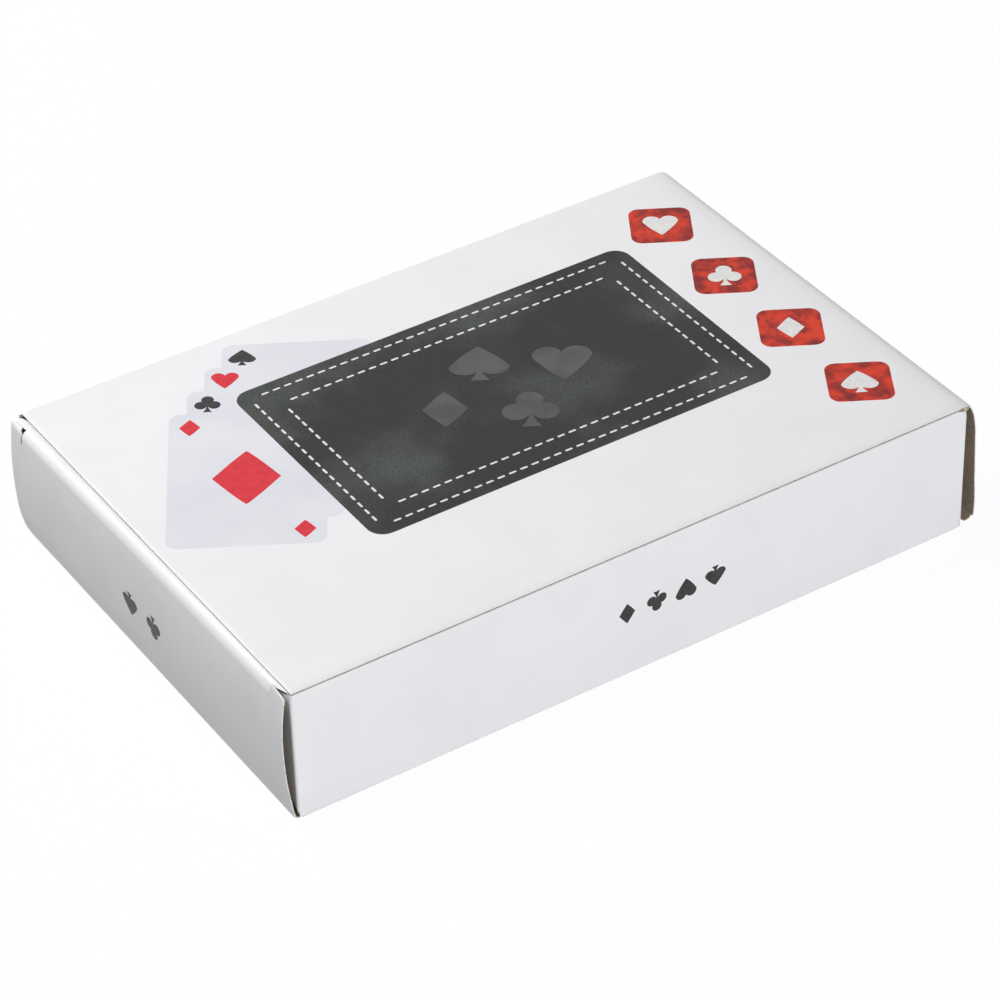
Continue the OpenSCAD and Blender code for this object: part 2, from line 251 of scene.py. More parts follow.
class Paint(Nodes):
    """A material under construction."""

    def __init__(self, name: str) -> None:
        """Start a material with a plain Principled shader.

        Args:
            name: The material's name.
        """
        self.material = bpy.data.materials.new(name)
        self.material.use_nodes = True
        super().__init__(self.material.node_tree)
        self.shader = self.tree.nodes["Principled BSDF"]
        self._place: Optional[Wire] = None

    def place(self) -> Wire:
        """Object coordinates, from one node that the whole material shares.

        Returns:
            The coordinates.
        """
        if self._place is None:
            self._place = self.value("ShaderNodeTexCoord", output="Object")
        return self._place

    def axes(self) -> list[Wire]:
        """The three object coordinates, in metres."""
        return self.parts(self.place())

    def scaled(self, stretch: Triple) -> Wire:
        """Object coordinates, each multiplied by its own number."""
        return self.value(
            "ShaderNodeVectorMath", {"operation": "MULTIPLY"}, {0: self.place(), 1: stretch}
        )

    def noise(self, grain: float, detail: float = 2.0, stretch: Triple = (1.0, 1.0, 1.0)) -> Wire:
        """Cloudy noise from 0 to 1.

        Args:
            grain: Size of the clouds in millimetres.
            detail: Octaves.
            stretch: How many times finer the clouds are along each axis.

        Returns:
            The noise.
        """
        return self.value(
            "ShaderNodeTexNoise",
            sockets={"Vector": self.scaled(stretch), "Scale": 1.0 / (grain * MM), "Detail": detail},
        )

    def cells(self, grain: float, feature: str = "F1", output: str = "Distance") -> Wire:
        """Voronoi cells.

        Args:
            grain: Size of the cells in millimetres.
            feature: What is measured in a cell.
            output: The node's output.

        Returns:
            The measure, or the cell's own colour.
        """
        return self.value(
            "ShaderNodeTexVoronoi",
            {"feature": feature},
            {"Vector": self.place(), "Scale": 1.0 / (grain * MM)},
            output,
        )

    def mark(self, name: str) -> Wire:
        """A number that the mesh carries at each vertex."""
        return self.value("ShaderNodeAttribute", {"attribute_name": name}, output="Fac")

    def mix(self, share: Number, first: Any, second: Any) -> Wire:
        """Mix two colours.

        Args:
            share: How much of the second is in the mix, from 0 to 1.
            first: A colour or a wire.
            second: A colour or a wire.

        Returns:
            The colour.
        """
        ends = zip(MIX_COLOURS, (first, second))
        colours = {k: c if isinstance(c, Wire) else (*c, 1.0) for k, c in ends}
        return self.value("ShaderNodeMix", {"data_type": "RGBA"}, {0: share, **colours}, MIX_RESULT)

    def bump(self, height: Wire, depth: float, strength: float = 1.0) -> Wire:
        """Normal of a surface with a relief of that depth in millimetres."""
        return self.value(
            "ShaderNodeBump", sockets={"Height": height, "Distance": depth * MM, "Strength": strength}
        )

    def dress(self, **sockets: Any) -> Material:
        """Plug the Principled shader's inputs.

        Args:
            sockets: Wires or constants by the inputs' names, with _ for a space.

        Returns:
            The material.
        """
        for key, term in sockets.items():
            self.plug(self.shader.inputs[key.replace("_", " ")], term)
        return self.material


@dataclass(frozen=True)
class CoatedBoard:
    """White clay-coated side of the carton board."""

    name: str = "coated_board"
    white: Colour = (0.842, 0.842, 0.856)
    shade: Colour = (0.815, 0.816, 0.832)
    speck: Colour = (0.36, 0.33, 0.30)
    core: Colour = (0.40, 0.35, 0.28)
    painted_shade_tone: Colour = (0.690, 0.686, 0.695)
    cloud_size: float = 16.0
    tooth_size: float = 0.5
    speck_gap: float = 9.0
    speck_share: float = 0.011
    rub_size: float = 1.1

    def material(self) -> Material:
        """Cloudy white with rare specks, fine paper tooth, and the core showing where it is worn.

        Painted shade makes it greyer beside the top panel's front edge and near the folds.

        Returns:
            The material.
        """
        paint = Paint(self.name)
        cloud = paint.noise(self.cloud_size, 4.0)
        tooth = paint.noise(self.tooth_size, 3.0)
        rare = paint.cells(self.speck_gap, output="Color").above(0.62)
        dots = paint.cells(self.speck_gap).below(self.speck_share) * rare
        rubbed = (paint.mark("wear") * paint.noise(self.rub_size, 3.0)).step(0.34, 0.62)
        base = paint.mix(cloud.step(0.3, 0.75), self.white, self.shade)
        base = paint.mix(dots * 0.55, base, self.speck)
        # painted shade: grey mixed in where the shade mark is high
        base = paint.mix(paint.mark("painted_shade"), base, self.painted_shade_tone)
        base = paint.mix(rubbed * 0.8, base, self.core)
        return paint.dress(
            Base_Color=base,
            Roughness=0.36 + 0.1 * cloud + 0.25 * rubbed,
            Normal=paint.bump(tooth + 1.5 * cloud, 0.012, 0.5),
            Specular_IOR_Level=0.42,
        )


@dataclass(frozen=True)
class BareBoard:
    """Grey-brown uncoated side of the carton board."""

    name: str = "bare_board"
    light: Colour = (0.530, 0.445, 0.350)
    dark: Colour = (0.395, 0.325, 0.250)
    fleck: Colour = (0.170, 0.135, 0.102)
    fibre_size: float = 0.7
    clump_size: float = 1.6
    fleck_gap: float = 2.2

    def material(self) -> Material:
        """Recycled pulp: cloudy fibres that lie mostly along X, dark flecks and a matt tooth.

        Returns:
            The material.
        """
        paint = Paint(self.name)
        grain = paint.noise(self.fibre_size, 4.0, (0.35, 1.0, 1.0))
        fibres = grain * 0.45 + paint.noise(self.clump_size, 5.0) * 0.55
        rare = paint.cells(self.fleck_gap, output="Color").above(0.58)
        flecks = paint.cells(self.fleck_gap).below(0.12) * rare
        base = paint.mix(fibres.step(0.32, 0.68), self.dark, self.light)
        base = paint.mix(flecks * 0.6, base, self.fleck)
        return paint.dress(
            Base_Color=base,
            Roughness=0.86 + 0.1 * fibres,
            Normal=paint.bump(fibres, 0.03, 0.7),
            Specular_IOR_Level=0.25,
        )


@dataclass(frozen=True)
class RawEdge:
    """Cut edge of the carton board."""

    name: str = "raw_edge"
    light: Colour = (0.600, 0.520, 0.415)
    dark: Colour = (0.330, 0.270, 0.205)
    grain: float = 0.35
    patch_size: float = 3.0

    def material(self) -> Material:
        """Cut pulp: short fibres from beige to brown.

        Returns:
            The material.
        """
        paint = Paint(self.name)
        pulp = paint.noise(self.grain, 4.0)
        patch = paint.noise(self.patch_size, 2.0)
        base = paint.mix((pulp * 0.6 + patch * 0.4).step(0.32, 0.7), self.dark, self.light)
        return paint.dress(
            Base_Color=base,
            Roughness=0.85 + 0.1 * pulp,
            Normal=paint.bump(pulp, 0.05, 0.8),
            Specular_IOR_Level=0.2,
        )


@dataclass(frozen=True)
class Ink:
    """Printing ink on the coated board: two tones that cloud into each other."""

    name: str
    first: Colour
    second: Colour
    grain: float = 6.0
    crisp: float = 0.2
    gloss: float = 0.38
    shine: float = 0.3
    tooth_size: float = 0.5

    def material(self) -> Material:
        """Two tones mixed by noise, over the paper's tooth.

        Returns:
            The material.
        """
        paint = Paint(self.name)
        cloud = paint.noise(self.grain, 4.0)
        tooth = paint.noise(self.tooth_size, 2.0)
        tone = cloud.step(0.5 - self.crisp, 0.5 + self.crisp)
        return paint.dress(
            Base_Color=paint.mix(tone, self.first, self.second),
            Roughness=self.gloss + 0.1 * cloud,
            Normal=paint.bump(tooth, 0.01, 0.4),
            Specular_IOR_Level=self.shine,
        )


@dataclass(frozen=True)
class GrainInk:
    """Print of dark grained leather."""

    name: str = "grain_ink"
    dark: Colour = (0.0125, 0.0145, 0.0135)
    mid: Colour = (0.030, 0.034, 0.031)
    light: Colour = (0.125, 0.137, 0.126)
    wrinkle_size: float = 0.95
    pore_size: float = 0.5
    sheen_size: float = 28.0

    def material(self) -> Material:
        """Fine wrinkles between dark and mid tones, with a cloudy lighter sheen.

        Returns:
            The material.
        """
        paint = Paint(self.name)
        wrinkle = paint.cells(self.wrinkle_size, "DISTANCE_TO_EDGE").step(0.0, 0.3)
        pores = paint.noise(self.pore_size, 5.0)
        sheen = paint.noise(self.sheen_size, 3.0).step(0.40, 0.72)
        base = paint.mix(wrinkle * 0.35 + pores * 0.7, self.dark, self.mid)
        base = paint.mix(sheen * (wrinkle * 0.15 + pores * 0.75), base, self.light)
        return paint.dress(
            Base_Color=base,
            Roughness=0.4 + 0.1 * pores,
            Normal=paint.bump(paint.noise(self.pore_size, 2.0), 0.01, 0.4),
            Specular_IOR_Level=0.2,
        )


@dataclass(frozen=True)
class Leatherette:
    """Black embossed leatherette of the case."""

    name: str = "leatherette"
    dark: Colour = (0.0105, 0.0115, 0.0110)
    light: Colour = (0.036, 0.039, 0.037)
    pebble: float = 1.15
    fine_share: float = 0.42
    cloud_size: float = 20.0

    def material(self) -> Material:
        """Pebbled relief from two sizes of cells, with creases darker than the pebbles.

        Returns:
            The material.
        """
        paint = Paint(self.name)
        pebbles = paint.cells(self.pebble, "DISTANCE_TO_EDGE").step(0.0, 0.22)
        fine = paint.cells(self.pebble * self.fine_share, "DISTANCE_TO_EDGE").step(0.0, 0.3)
        cloud = paint.noise(self.cloud_size, 3.0)
        relief = pebbles * 0.7 + fine * 0.3
        return paint.dress(
            Base_Color=paint.mix(relief * (0.5 + cloud), self.dark, self.light),
            Roughness=0.62 - 0.2 * relief + 0.12 * cloud,
            Normal=paint.bump(relief, 0.09, 0.85),
            Specular_IOR_Level=0.45,
        )


@dataclass(frozen=True)
class Felt:
    """Charcoal felt of the linings."""

    name: str = "felt"
    dark: Colour = (0.016, 0.016, 0.019)
    light: Colour = (0.062, 0.062, 0.070)
    fibre_size: float = 0.5

    def material(self) -> Material:
        """Short crossing fibres, matt, with a little sheen.

        Returns:
            The material.
        """
        paint = Paint(self.name)
        along = paint.noise(self.fibre_size, 4.0, (0.4, 1.0, 1.0))
        across = paint.noise(self.fibre_size, 4.0, (1.0, 0.4, 1.0))
        fibres = along * 0.5 + across * 0.5
        return paint.dress(
            Base_Color=paint.mix(fibres.step(0.3, 0.7), self.dark, self.light),
            Roughness=0.9 + 0.08 * fibres,
            Normal=paint.bump(fibres, 0.15, 0.8),
            Sheen_Weight=0.3,
            Specular_IOR_Level=0.15,
        )


@dataclass(frozen=True)
class Thread:
    """Ivory stitching thread."""

    name: str = "thread"
    light: Colour = (0.76, 0.74, 0.68)
    dark: Colour = (0.46, 0.44, 0.39)
    ply: float = 0.42
    fuzz_size: float = 0.18

    def material(self) -> Material:
        """Twisted plies seen as slanted bands, with loose fibres between them.

        Returns:
            The material.
        """
        paint = Paint(self.name)
        along, across, up = paint.axes()
        twist = (along + across + up) * (2 * math.pi / (self.ply * MM))
        plies = twist.sine() * 0.5 + 0.5
        fuzz = paint.noise(self.fuzz_size, 3.0)
        return paint.dress(
            Base_Color=paint.mix((plies * 0.65 + fuzz * 0.35).step(0.15, 0.7), self.dark, self.light),
            Roughness=0.66 + 0.2 * fuzz,
            Normal=paint.bump(plies + 0.3 * fuzz, 0.05, 0.7),
            Specular_IOR_Level=0.3,
        )


@dataclass(frozen=True)
class PlainBoard:
    """Greyboard or dyed board inside the case."""

    name: str
    light: Colour
    dark: Colour
    fibre_size: float = 0.8

    def material(self) -> Material:
        """Matt board with short fibres.

        Returns:
            The material.
        """
        paint = Paint(self.name)
        fibres = paint.noise(self.fibre_size, 4.0, (0.3, 1.0, 1.0))
        return paint.dress(
            Base_Color=paint.mix(fibres.step(0.3, 0.7), self.dark, self.light),
            Roughness=0.82 + 0.12 * fibres,
            Normal=paint.bump(fibres, 0.04, 0.6),
            Specular_IOR_Level=0.25,
        )


@dataclass(frozen=True)
class CardStock:
    """Playing card with a lattice back inside a white border."""

    name: str
    centre: Pair
    half: Pair
    back: Colour
    white: Colour = (0.80, 0.80, 0.79)
    shade: Colour = (0.70, 0.70, 0.69)
    border: float = 4.0
    lattice: float = 3.2
    fibre_size: float = 0.4

    def material(self) -> Material:
        """White stock; on the flat faces, two crossing sets of lines inside the border.

        Returns:
            The material.
        """
        paint = Paint(self.name)
        along, across, _ = paint.axes()
        along = along - self.centre[0] * MM
        across = across - self.centre[1] * MM
        wave = 2 * math.pi / (self.lattice * MM)
        first = ((along + across) * wave).sine()
        second = ((along - across) * wave).sine()
        lines = (first * second).step(-0.15, 0.15)
        ends, sides = ((half - self.border) * MM for half in self.half)
        inside = abs(along).below(ends) * abs(across).below(sides)
        flat = paint.parts(paint.value("ShaderNodeNewGeometry", output="Normal"))[2].above(0.5)
        fibres = paint.noise(self.fibre_size, 3.0)
        base = paint.mix(fibres.step(0.2, 0.8), self.shade, self.white)
        base = paint.mix(lines * inside * flat, base, self.back)
        return paint.dress(
            Base_Color=base,
            Roughness=0.34 + 0.12 * fibres,
            Normal=paint.bump(fibres, 0.01, 0.4),
            Specular_IOR_Level=0.45,
        )


@dataclass(frozen=True)
class DieResin:
    """Clear red resin with darker swirls."""

    name: str = "die_resin"
    deep: Colour = (0.34, 0.004, 0.006)
    bright: Colour = (0.72, 0.035, 0.018)
    swirl_size: float = 6.0
    ripple_size: float = 5.0

    def material(self) -> Material:
        """Swirls of two reds under a polished skin.

        Returns:
            The material.
        """
        paint = Paint(self.name)
        swirl = paint.noise(self.swirl_size, 5.0)
        return paint.dress(
            Base_Color=paint.mix(swirl.step(0.35, 0.65), self.deep, self.bright),
            Roughness=0.06 + 0.06 * swirl,
            Normal=paint.bump(paint.noise(self.ripple_size), 0.02, 0.3),
            Transmission_Weight=0.35,
            IOR=1.49,
        )


class End(Enum):
    """The carton's two ends."""

    LEFT = "left"
    RIGHT = "right"


@dataclass(frozen=True)
class CartonSizes:
    """Sizes of the folded carton in millimetres."""

    half_length: float
    half_width: float
    height: float
    hinge_x: float
    dust_x: float
    side_y: float
    left_hinge_z: float
    right_hinge_z: float
    closure_height: float
    closure_half: float
    tuck_half: float
    board: float = 0.5
    sheet: float = 0.46
    seam: float = 0.15
    crease: float = 0.42
    seam_crease: float = 0.4
    notch: float = 1.3
    glue_width: float = 12.0
    dust_bend: float = 0.5
    left_front_shift: float = 0.32
    left_rear_shift: float = 0.95
    right_shift: float = 0.2
    top_setback: float = 0.4
    right_roll: float = 1.25
    sag: float = 0.1

    @classmethod
    def from_frame(cls, joints: dict[str, dict[str, Any]]) -> "CartonSizes":
        """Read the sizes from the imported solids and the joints' axes.

        Args:
            joints: The frame's joints by name.

        Returns:
            The sizes.
        """
        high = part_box("carton_sleeve")[1]
        left = joints["left_closure_hinge"]["pos_m"]
        right = joints["right_closure_hinge"]["pos_m"]
        tuck = joints["left_tuck_hinge"]["pos_m"]
        dust = joints["right_front_dust_hinge"]["pos_m"]
        return cls(
            half_length=high.x / MM,
            half_width=high.y / MM,
            height=high.z / MM,
            hinge_x=right[0] / MM,
            dust_x=dust[0] / MM,
            side_y=-dust[1] / MM,
            left_hinge_z=left[2] / MM,
            right_hinge_z=right[2] / MM,
            closure_height=(tuck[2] - left[2]) / MM,
            closure_half=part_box("left_closure")[1].y / MM,
            tuck_half=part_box("left_tuck")[1].y / MM,
        )

    def side(self, end: End, rear: bool) -> float:
        """Distance from the middle to the crease of a dust flap."""
        left = self.left_rear_shift if rear else self.left_front_shift
        return self.dust_x + (left if end is End.LEFT else self.right_shift)

    def roll(self, end: End) -> float:
        """How far before the carton's end the closure's fold starts."""
        return 0.0 if end is End.LEFT else self.right_roll

    @property
    def skin(self) -> float:
        """Distance from a panel's outer CAD face to the middle of its sheet."""
        return self.board - self.sheet / 2

    @property
    def inside(self) -> Array:
        """A point inside the carton, which coated sides face away from."""
        return np.array([0.0, 0.0, self.height / 2])

    def panel_sag(self, along: Array, across: Array) -> Array:
        """Depth by which a panel gives way, from its two coordinates as shares from -1 to 1.

        The product of two parabolas that vanish at the panel's edges, with a slow wave.
        """
        dish = np.clip(1 - along**2, 0, 1) * np.clip(1 - across**2, 0, 1)
        return self.sag * dish * (0.75 + 0.25 * np.sin(5 * along + 2 * across))

    def top_face(self, x: Array, y: Array) -> Array:
        """Height of the top panel's printed face."""
        sag = self.panel_sag(x / self.half_length, y / self.half_width)
        return self.height - self.board + self.sheet - sag

    def front_face(self, x: Array, z: Array) -> Array:
        """Y of the front panel's printed face."""
        sag = self.panel_sag(x / self.half_length, 2 * z / self.height - 1)
        return -self.half_width + self.board - self.sheet + sag


def smooth_curve(knots: Knots, at: Array) -> Array:
    """Cubic Hermite curve through knots, its slope at each knot taken from its neighbours.

    Args:
        knots: Pairs of position and value, in order of position.
        at: Positions.

    Returns:
        The values there.
    """
    place, level = np.array(knots, float).T
    slope = np.gradient(level, place)
    i = np.clip(np.searchsorted(place, at) - 1, 0, len(place) - 2)
    width = place[i + 1] - place[i]
    t = (at - place[i]) / width
    start = (1 + 2 * t) * (1 - t) ** 2 * level[i] + t * (1 - t) ** 2 * width * slope[i]
    end = t**2 * (3 - 2 * t) * level[i + 1] + t**2 * (t - 1) * width * slope[i + 1]
    return start + end


def conic(first: Array, corner: Array, last: Array, weight: float, t: Array) -> Array:
    """Round arc from first to last, tangent to the lines that meet at corner.

    The rational quadratic of the three points. With the cosine of half the turn as
    weight, and equal legs, it is a circle's arc.
    """
    a, b, c = (1 - t) ** 2, 2 * weight * t * (1 - t), t**2
    return (a * first + b * corner + c * last) / (a + b + c)


def ease(at: Array, start: float, end: float) -> Array:
    """Smooth step, 0 at start and 1 at end."""
    t = np.clip((at - start) / (end - start), 0, 1)
    return t * t * (3 - 2 * t)


def rounded_path(
    corners: Array, radii: Sequence[float], step: float, marks: Sequence[Array]
) -> tuple[Array, Array, Array]:
    """Polyline whose inner corners are round arcs.

    Args:
        corners: The polyline's points.
        radii: Radius of each inner corner.
        step: Spacing on the straight runs.
        marks: For each run, more places on it, as values of the coordinate that changes.

    Returns:
        The points, the number of each point's run, and how much each point bends (0 or 1).
    """
    points, runs, bends = [], [], []
    legs = np.diff(corners, axis=0)
    units = legs / np.linalg.norm(legs, axis=1)[:, None]
    start = corners[0]
    for k, unit in enumerate(units):
        turn = 0.0
        if k + 1 < len(units):
            turn = math.acos(float(np.clip(unit @ units[k + 1], -1, 1)))
        cut = radii[k] * math.tan(turn / 2) if turn else 0.0
        end = corners[k + 1] - unit * cut
        axis = int(np.argmax(np.abs(end - start)))
        count = max(2, int(np.linalg.norm(end - start) / step) + 1)
        more = (marks[k] - start[axis]) / (end - start)[axis]
        shares = np.union1d(np.linspace(0, 1, count), more)
        shares = shares[(shares >= 0) & (shares <= 1)]
        straight = start + shares[:, None] * (end - start)
        points.append(straight)
        runs.append(np.full(len(straight), float(k)))
        bends.append(np.zeros(len(straight)))
        if turn:
            after = corners[k + 1] + units[k + 1] * cut
            t = np.linspace(0, 1, 9)[1:-1, None]
            arc = conic(end, corners[k + 1], after, math.cos(turn / 2), t)
            points.append(arc)
            runs.append(np.full(len(arc), k + 0.5))
            bends.append(np.ones(len(arc)))
            start = after
    return np.concatenate(points), np.concatenate(runs), np.concatenate(bends)


def fill_mesh(
    name: str,
    points: Array,
    quads: Array,
    slots: Array,
    smooth: Array,
    materials: Sequence[Material],
    normals: Optional[Array] = None,
) -> Piece:
    """Make an object from arrays.

    Args:
        name: The piece's name.
        points: Vertices in millimetres.
        quads: Faces of four vertices.
        slots: Material number of each face.
        smooth: Whether each face is shaded smooth.
        materials: The materials in order.
        normals: Shading normal of each face's corner, or zero to leave it.

    Returns:
        The object, at the origin.
    """
    mesh = bpy.data.meshes.new(name)
    mesh.vertices.add(len(points))
    mesh.vertices.foreach_set("co", (points * MM).astype(np.float32).ravel())
    mesh.loops.add(quads.size)
    mesh.loops.foreach_set("vertex_index", quads.astype(np.int32).ravel())
    mesh.polygons.add(len(quads))
    mesh.polygons.foreach_set("loop_start", np.arange(0, quads.size, 4, dtype=np.int32))
    mesh.polygons.foreach_set("material_index", slots.astype(np.int32))
    mesh.polygons.foreach_set("use_smooth", smooth.astype(bool))
    mesh.update(calc_edges=True)
    if normals is not None:
        mesh.normals_split_custom_set(normals.tolist())
    for material in materials:
        mesh.materials.append(material)
    piece = bpy.data.objects.new(name, mesh)
    bpy.context.scene.collection.objects.link(piece)
    return piece


def index_quads(index: Array) -> Array:
    """Faces between neighbours in a grid of vertex numbers.

    Args:
        index: The numbers, in rows and columns.

    Returns:
        Faces of four vertices, each going down a row and then across a column.
    """
    corners = [index[:-1, :-1], index[1:, :-1], index[1:, 1:], index[:-1, 1:]]
    return np.stack([corner.ravel() for corner in corners], -1)


def grid_index(rows: int, columns: int, around: bool = False) -> Array:
    """Vertex numbers of a grid, row by row, with the first column again at the end if around."""
    index = np.arange(rows * columns).reshape(rows, columns)
    return np.concatenate([index, index[:, :1]], 1) if around else index


def border_loop(rows: int, columns: int) -> tuple[Array, Array]:
    """Border of a grid, once round.

    Args:
        rows: The grid's rows.
        columns: The grid's columns.

    Returns:
        The row and the column of each border point.
    """
    down, across = np.arange(rows - 1), np.arange(columns - 1)
    i = np.concatenate([0 * across, down, 0 * across + rows - 1, rows - 1 - down])
    j = np.concatenate([across, 0 * down + columns - 1, columns - 1 - across, 0 * down])
    return i, j


def closed_skin(
    name: str,
    points: Array,
    quads: Array,
    material: Material,
    merge: bool = True,
    hole_sides: int = 0,
) -> Piece:
    """Make a smooth piece of one material with its faces outward.

    Args:
        name: The piece's name.
        points: Vertices in millimetres.
        quads: Faces of four vertices.
        material: The material.
        merge: Whether vertices that coincide become one.
        hole_sides: Most sides of a hole that is filled, or 0 to fill none.

    Returns:
        The object, at the origin.
    """
    slots = np.zeros(len(quads))
    piece = fill_mesh(name, points.reshape(-1, 3), quads, slots, slots + 1, [material])
    mesh = bmesh.new()
    mesh.from_mesh(piece.data)
    if merge:
        bmesh.ops.remove_doubles(mesh, verts=mesh.verts, dist=MERGE * MM)
    if hole_sides:
        bmesh.ops.holes_fill(mesh, edges=mesh.edges, sides=hole_sides)
    bmesh.ops.recalc_face_normals(mesh, faces=mesh.faces)
    mesh.to_mesh(piece.data)
    mesh.free()
    return piece


@dataclass
class Board:
    """A closed sheet: a grid of middle points with a thickness and a frayed rim.

    At a border point, cut is 0 where the sheet goes on, 1 at a cut edge and 2 at an edge
    that the coat is drawn over. Wear is a mark of real rubbing that the finish reads; the
    second mark is painted shade, which greys the coat beside edges and folds.
    """

    name: str
    middle: Array
    thickness: float
    inside: Array
    materials: Sequence[Material]
    fray: float = 0.0
    seed: int = 1
    wear: Optional[Array] = None
    cut: Optional[Array] = None
    # painted shade: how much grey stands in for shade at each point
    painted_shade: Optional[Array] = None
    press: float = 0.75
    draw: float = 0.35
    wrap: float = 0.5
    shade_gain: float = 8.0

    def normals(self, grid: Array) -> tuple[Array, bool]:
        """Unit normals on the coated side: the cross product of the grid's two directions.

        Args:
            grid: Points in rows and columns.

        Returns:
            The normals, and whether the grid's own face the other way.
        """
        down, across = (np.gradient(grid, axis=k, edge_order=2) for k in (0, 1))
        normal = np.cross(down, across)
        normal /= np.maximum(np.linalg.norm(normal, axis=-1, keepdims=True), TINY)
        flipped = bool(np.sum(normal * (grid - self.inside)) < 0)
        return (-normal if flipped else normal), flipped

    def sink(self) -> Array:
        """How far the blade drew the coat down: a bell of the distance from each cut edge.

        Returns:
            The share of the full depth at each point.
        """
        depth = np.zeros(self.middle.shape[:2])
        if self.cut is None:
            return depth
        cut = np.minimum(self.cut, 1)
        for axis in (0, 1):
            gaps = np.linalg.norm(np.diff(self.middle, axis=axis), axis=-1)
            gaps = np.concatenate([np.zeros_like(gaps.take([0], axis)), gaps], axis)
            run = np.cumsum(gaps, axis)
            for side, away in ((0, run), (-1, run.take([-1], axis) - run)):
                bell = np.exp(-((away / self.draw) ** 2))
                depth = np.maximum(depth, cut.take([side], axis) * bell)
        return depth

    def rim(self, base: Array) -> Array:
        """Line along the cut edge, pushed out here and there by loose fibres.

        Args:
            base: The border's points before the push.

        Returns:
            The points.
        """
        rows, columns = self.middle.shape[:2]
        i, j = border_loop(rows, columns)
        inner = self.middle[np.clip(i, 1, rows - 2), np.clip(j, 1, columns - 2)]
        away = self.middle[i, j] - inner
        away /= np.maximum(np.linalg.norm(away, axis=-1, keepdims=True), TINY)
        loose = np.random.default_rng(self.seed).uniform(-0.4, 1.0, len(i)) * self.fray
        if self.cut is not None:
            loose = loose * np.minimum(self.cut[i, j], 1)
        return base + away * loose[:, None]

    def build(self) -> Piece:
        """Join the coated face, the bare face and the rim between them.

        Returns:
            The piece.
        """
        rows, columns = self.middle.shape[:2]
        count = rows * columns
        normal, flipped = self.normals(self.middle)
        lift = normal * self.thickness / 2
        sink = self.sink()[..., None]
        coated = self.middle + lift * (1 - self.press * sink)
        bare = self.middle - lift
        drawn = np.minimum(self.shade_gain * sink, 1)
        shade = normal * (1 - drawn) + self.normals(coated)[0] * drawn
        i, j = border_loop(rows, columns)
        outer = i * columns + j
        ring = 2 * count + np.arange(len(i))
        face = index_quads(grid_index(rows, columns))
        upper = np.stack([outer, np.roll(outer, -1), np.roll(ring, -1), ring], -1)
        lower = np.stack([ring, np.roll(ring, -1), np.roll(outer, -1) + count, outer + count], -1)
        quads = np.concatenate([face, face[:, ::-1] + count, upper, lower])
        if flipped:
            quads = quads[:, ::-1]
        last = len(self.materials) - 1
        sides = 2 * len(face)
        groups = [len(face), len(face), 2 * len(upper)]
        over = np.zeros(len(i)) if self.cut is None else (self.cut[i, j] > 1).astype(float)
        slots = np.repeat([0, min(1, last), min(2, last)], groups)
        slots[sides : sides + len(upper)] *= over == 0
        smooth = np.repeat([1, 1, 0], groups)
        base = self.middle[i, j] - lift[i, j] * self.wrap * over[:, None]
        points = np.concatenate([coated.reshape(-1, 3), bare.reshape(-1, 3), self.rim(base)])
        lean = [shade.reshape(-1, 3), -normal.reshape(-1, 3), np.zeros((len(ring), 3))]
        shading = np.concatenate(lean)[quads]
        shading[sides:] = 0
        piece = fill_mesh(
            self.name, points, quads, slots, smooth, self.materials, shading.reshape(-1, 3)
        )
        # wear is real rubbing; the second mark is painted shade
        for key, level in (("wear", self.wear), ("painted_shade", self.painted_shade)):
            if level is not None:
                values = np.concatenate([level.ravel(), level.ravel(), level[i, j]])
                mark = piece.data.attributes.new(key, "FLOAT", "POINT")
                mark.data.foreach_set("value", values.astype(np.float32))
        return piece


def settle(piece: Piece, slot: str, *nodes: str) -> None:
    """Hide the CAD nodes that a piece stands for, and report the piece.

    Args:
        piece: The piece.
        slot: Not used.
        nodes: The CAD nodes.
    """
    if nodes:
        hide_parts(*nodes)
    LOG.info("%s: %d faces", piece.name, len(piece.data.polygons))


def ride(piece: Piece, body: str, slot: str, *nodes: str) -> None:
    """Let a piece move with a body and stand for CAD nodes, which are hidden."""
    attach(piece, body)
    settle(piece, slot, *nodes)


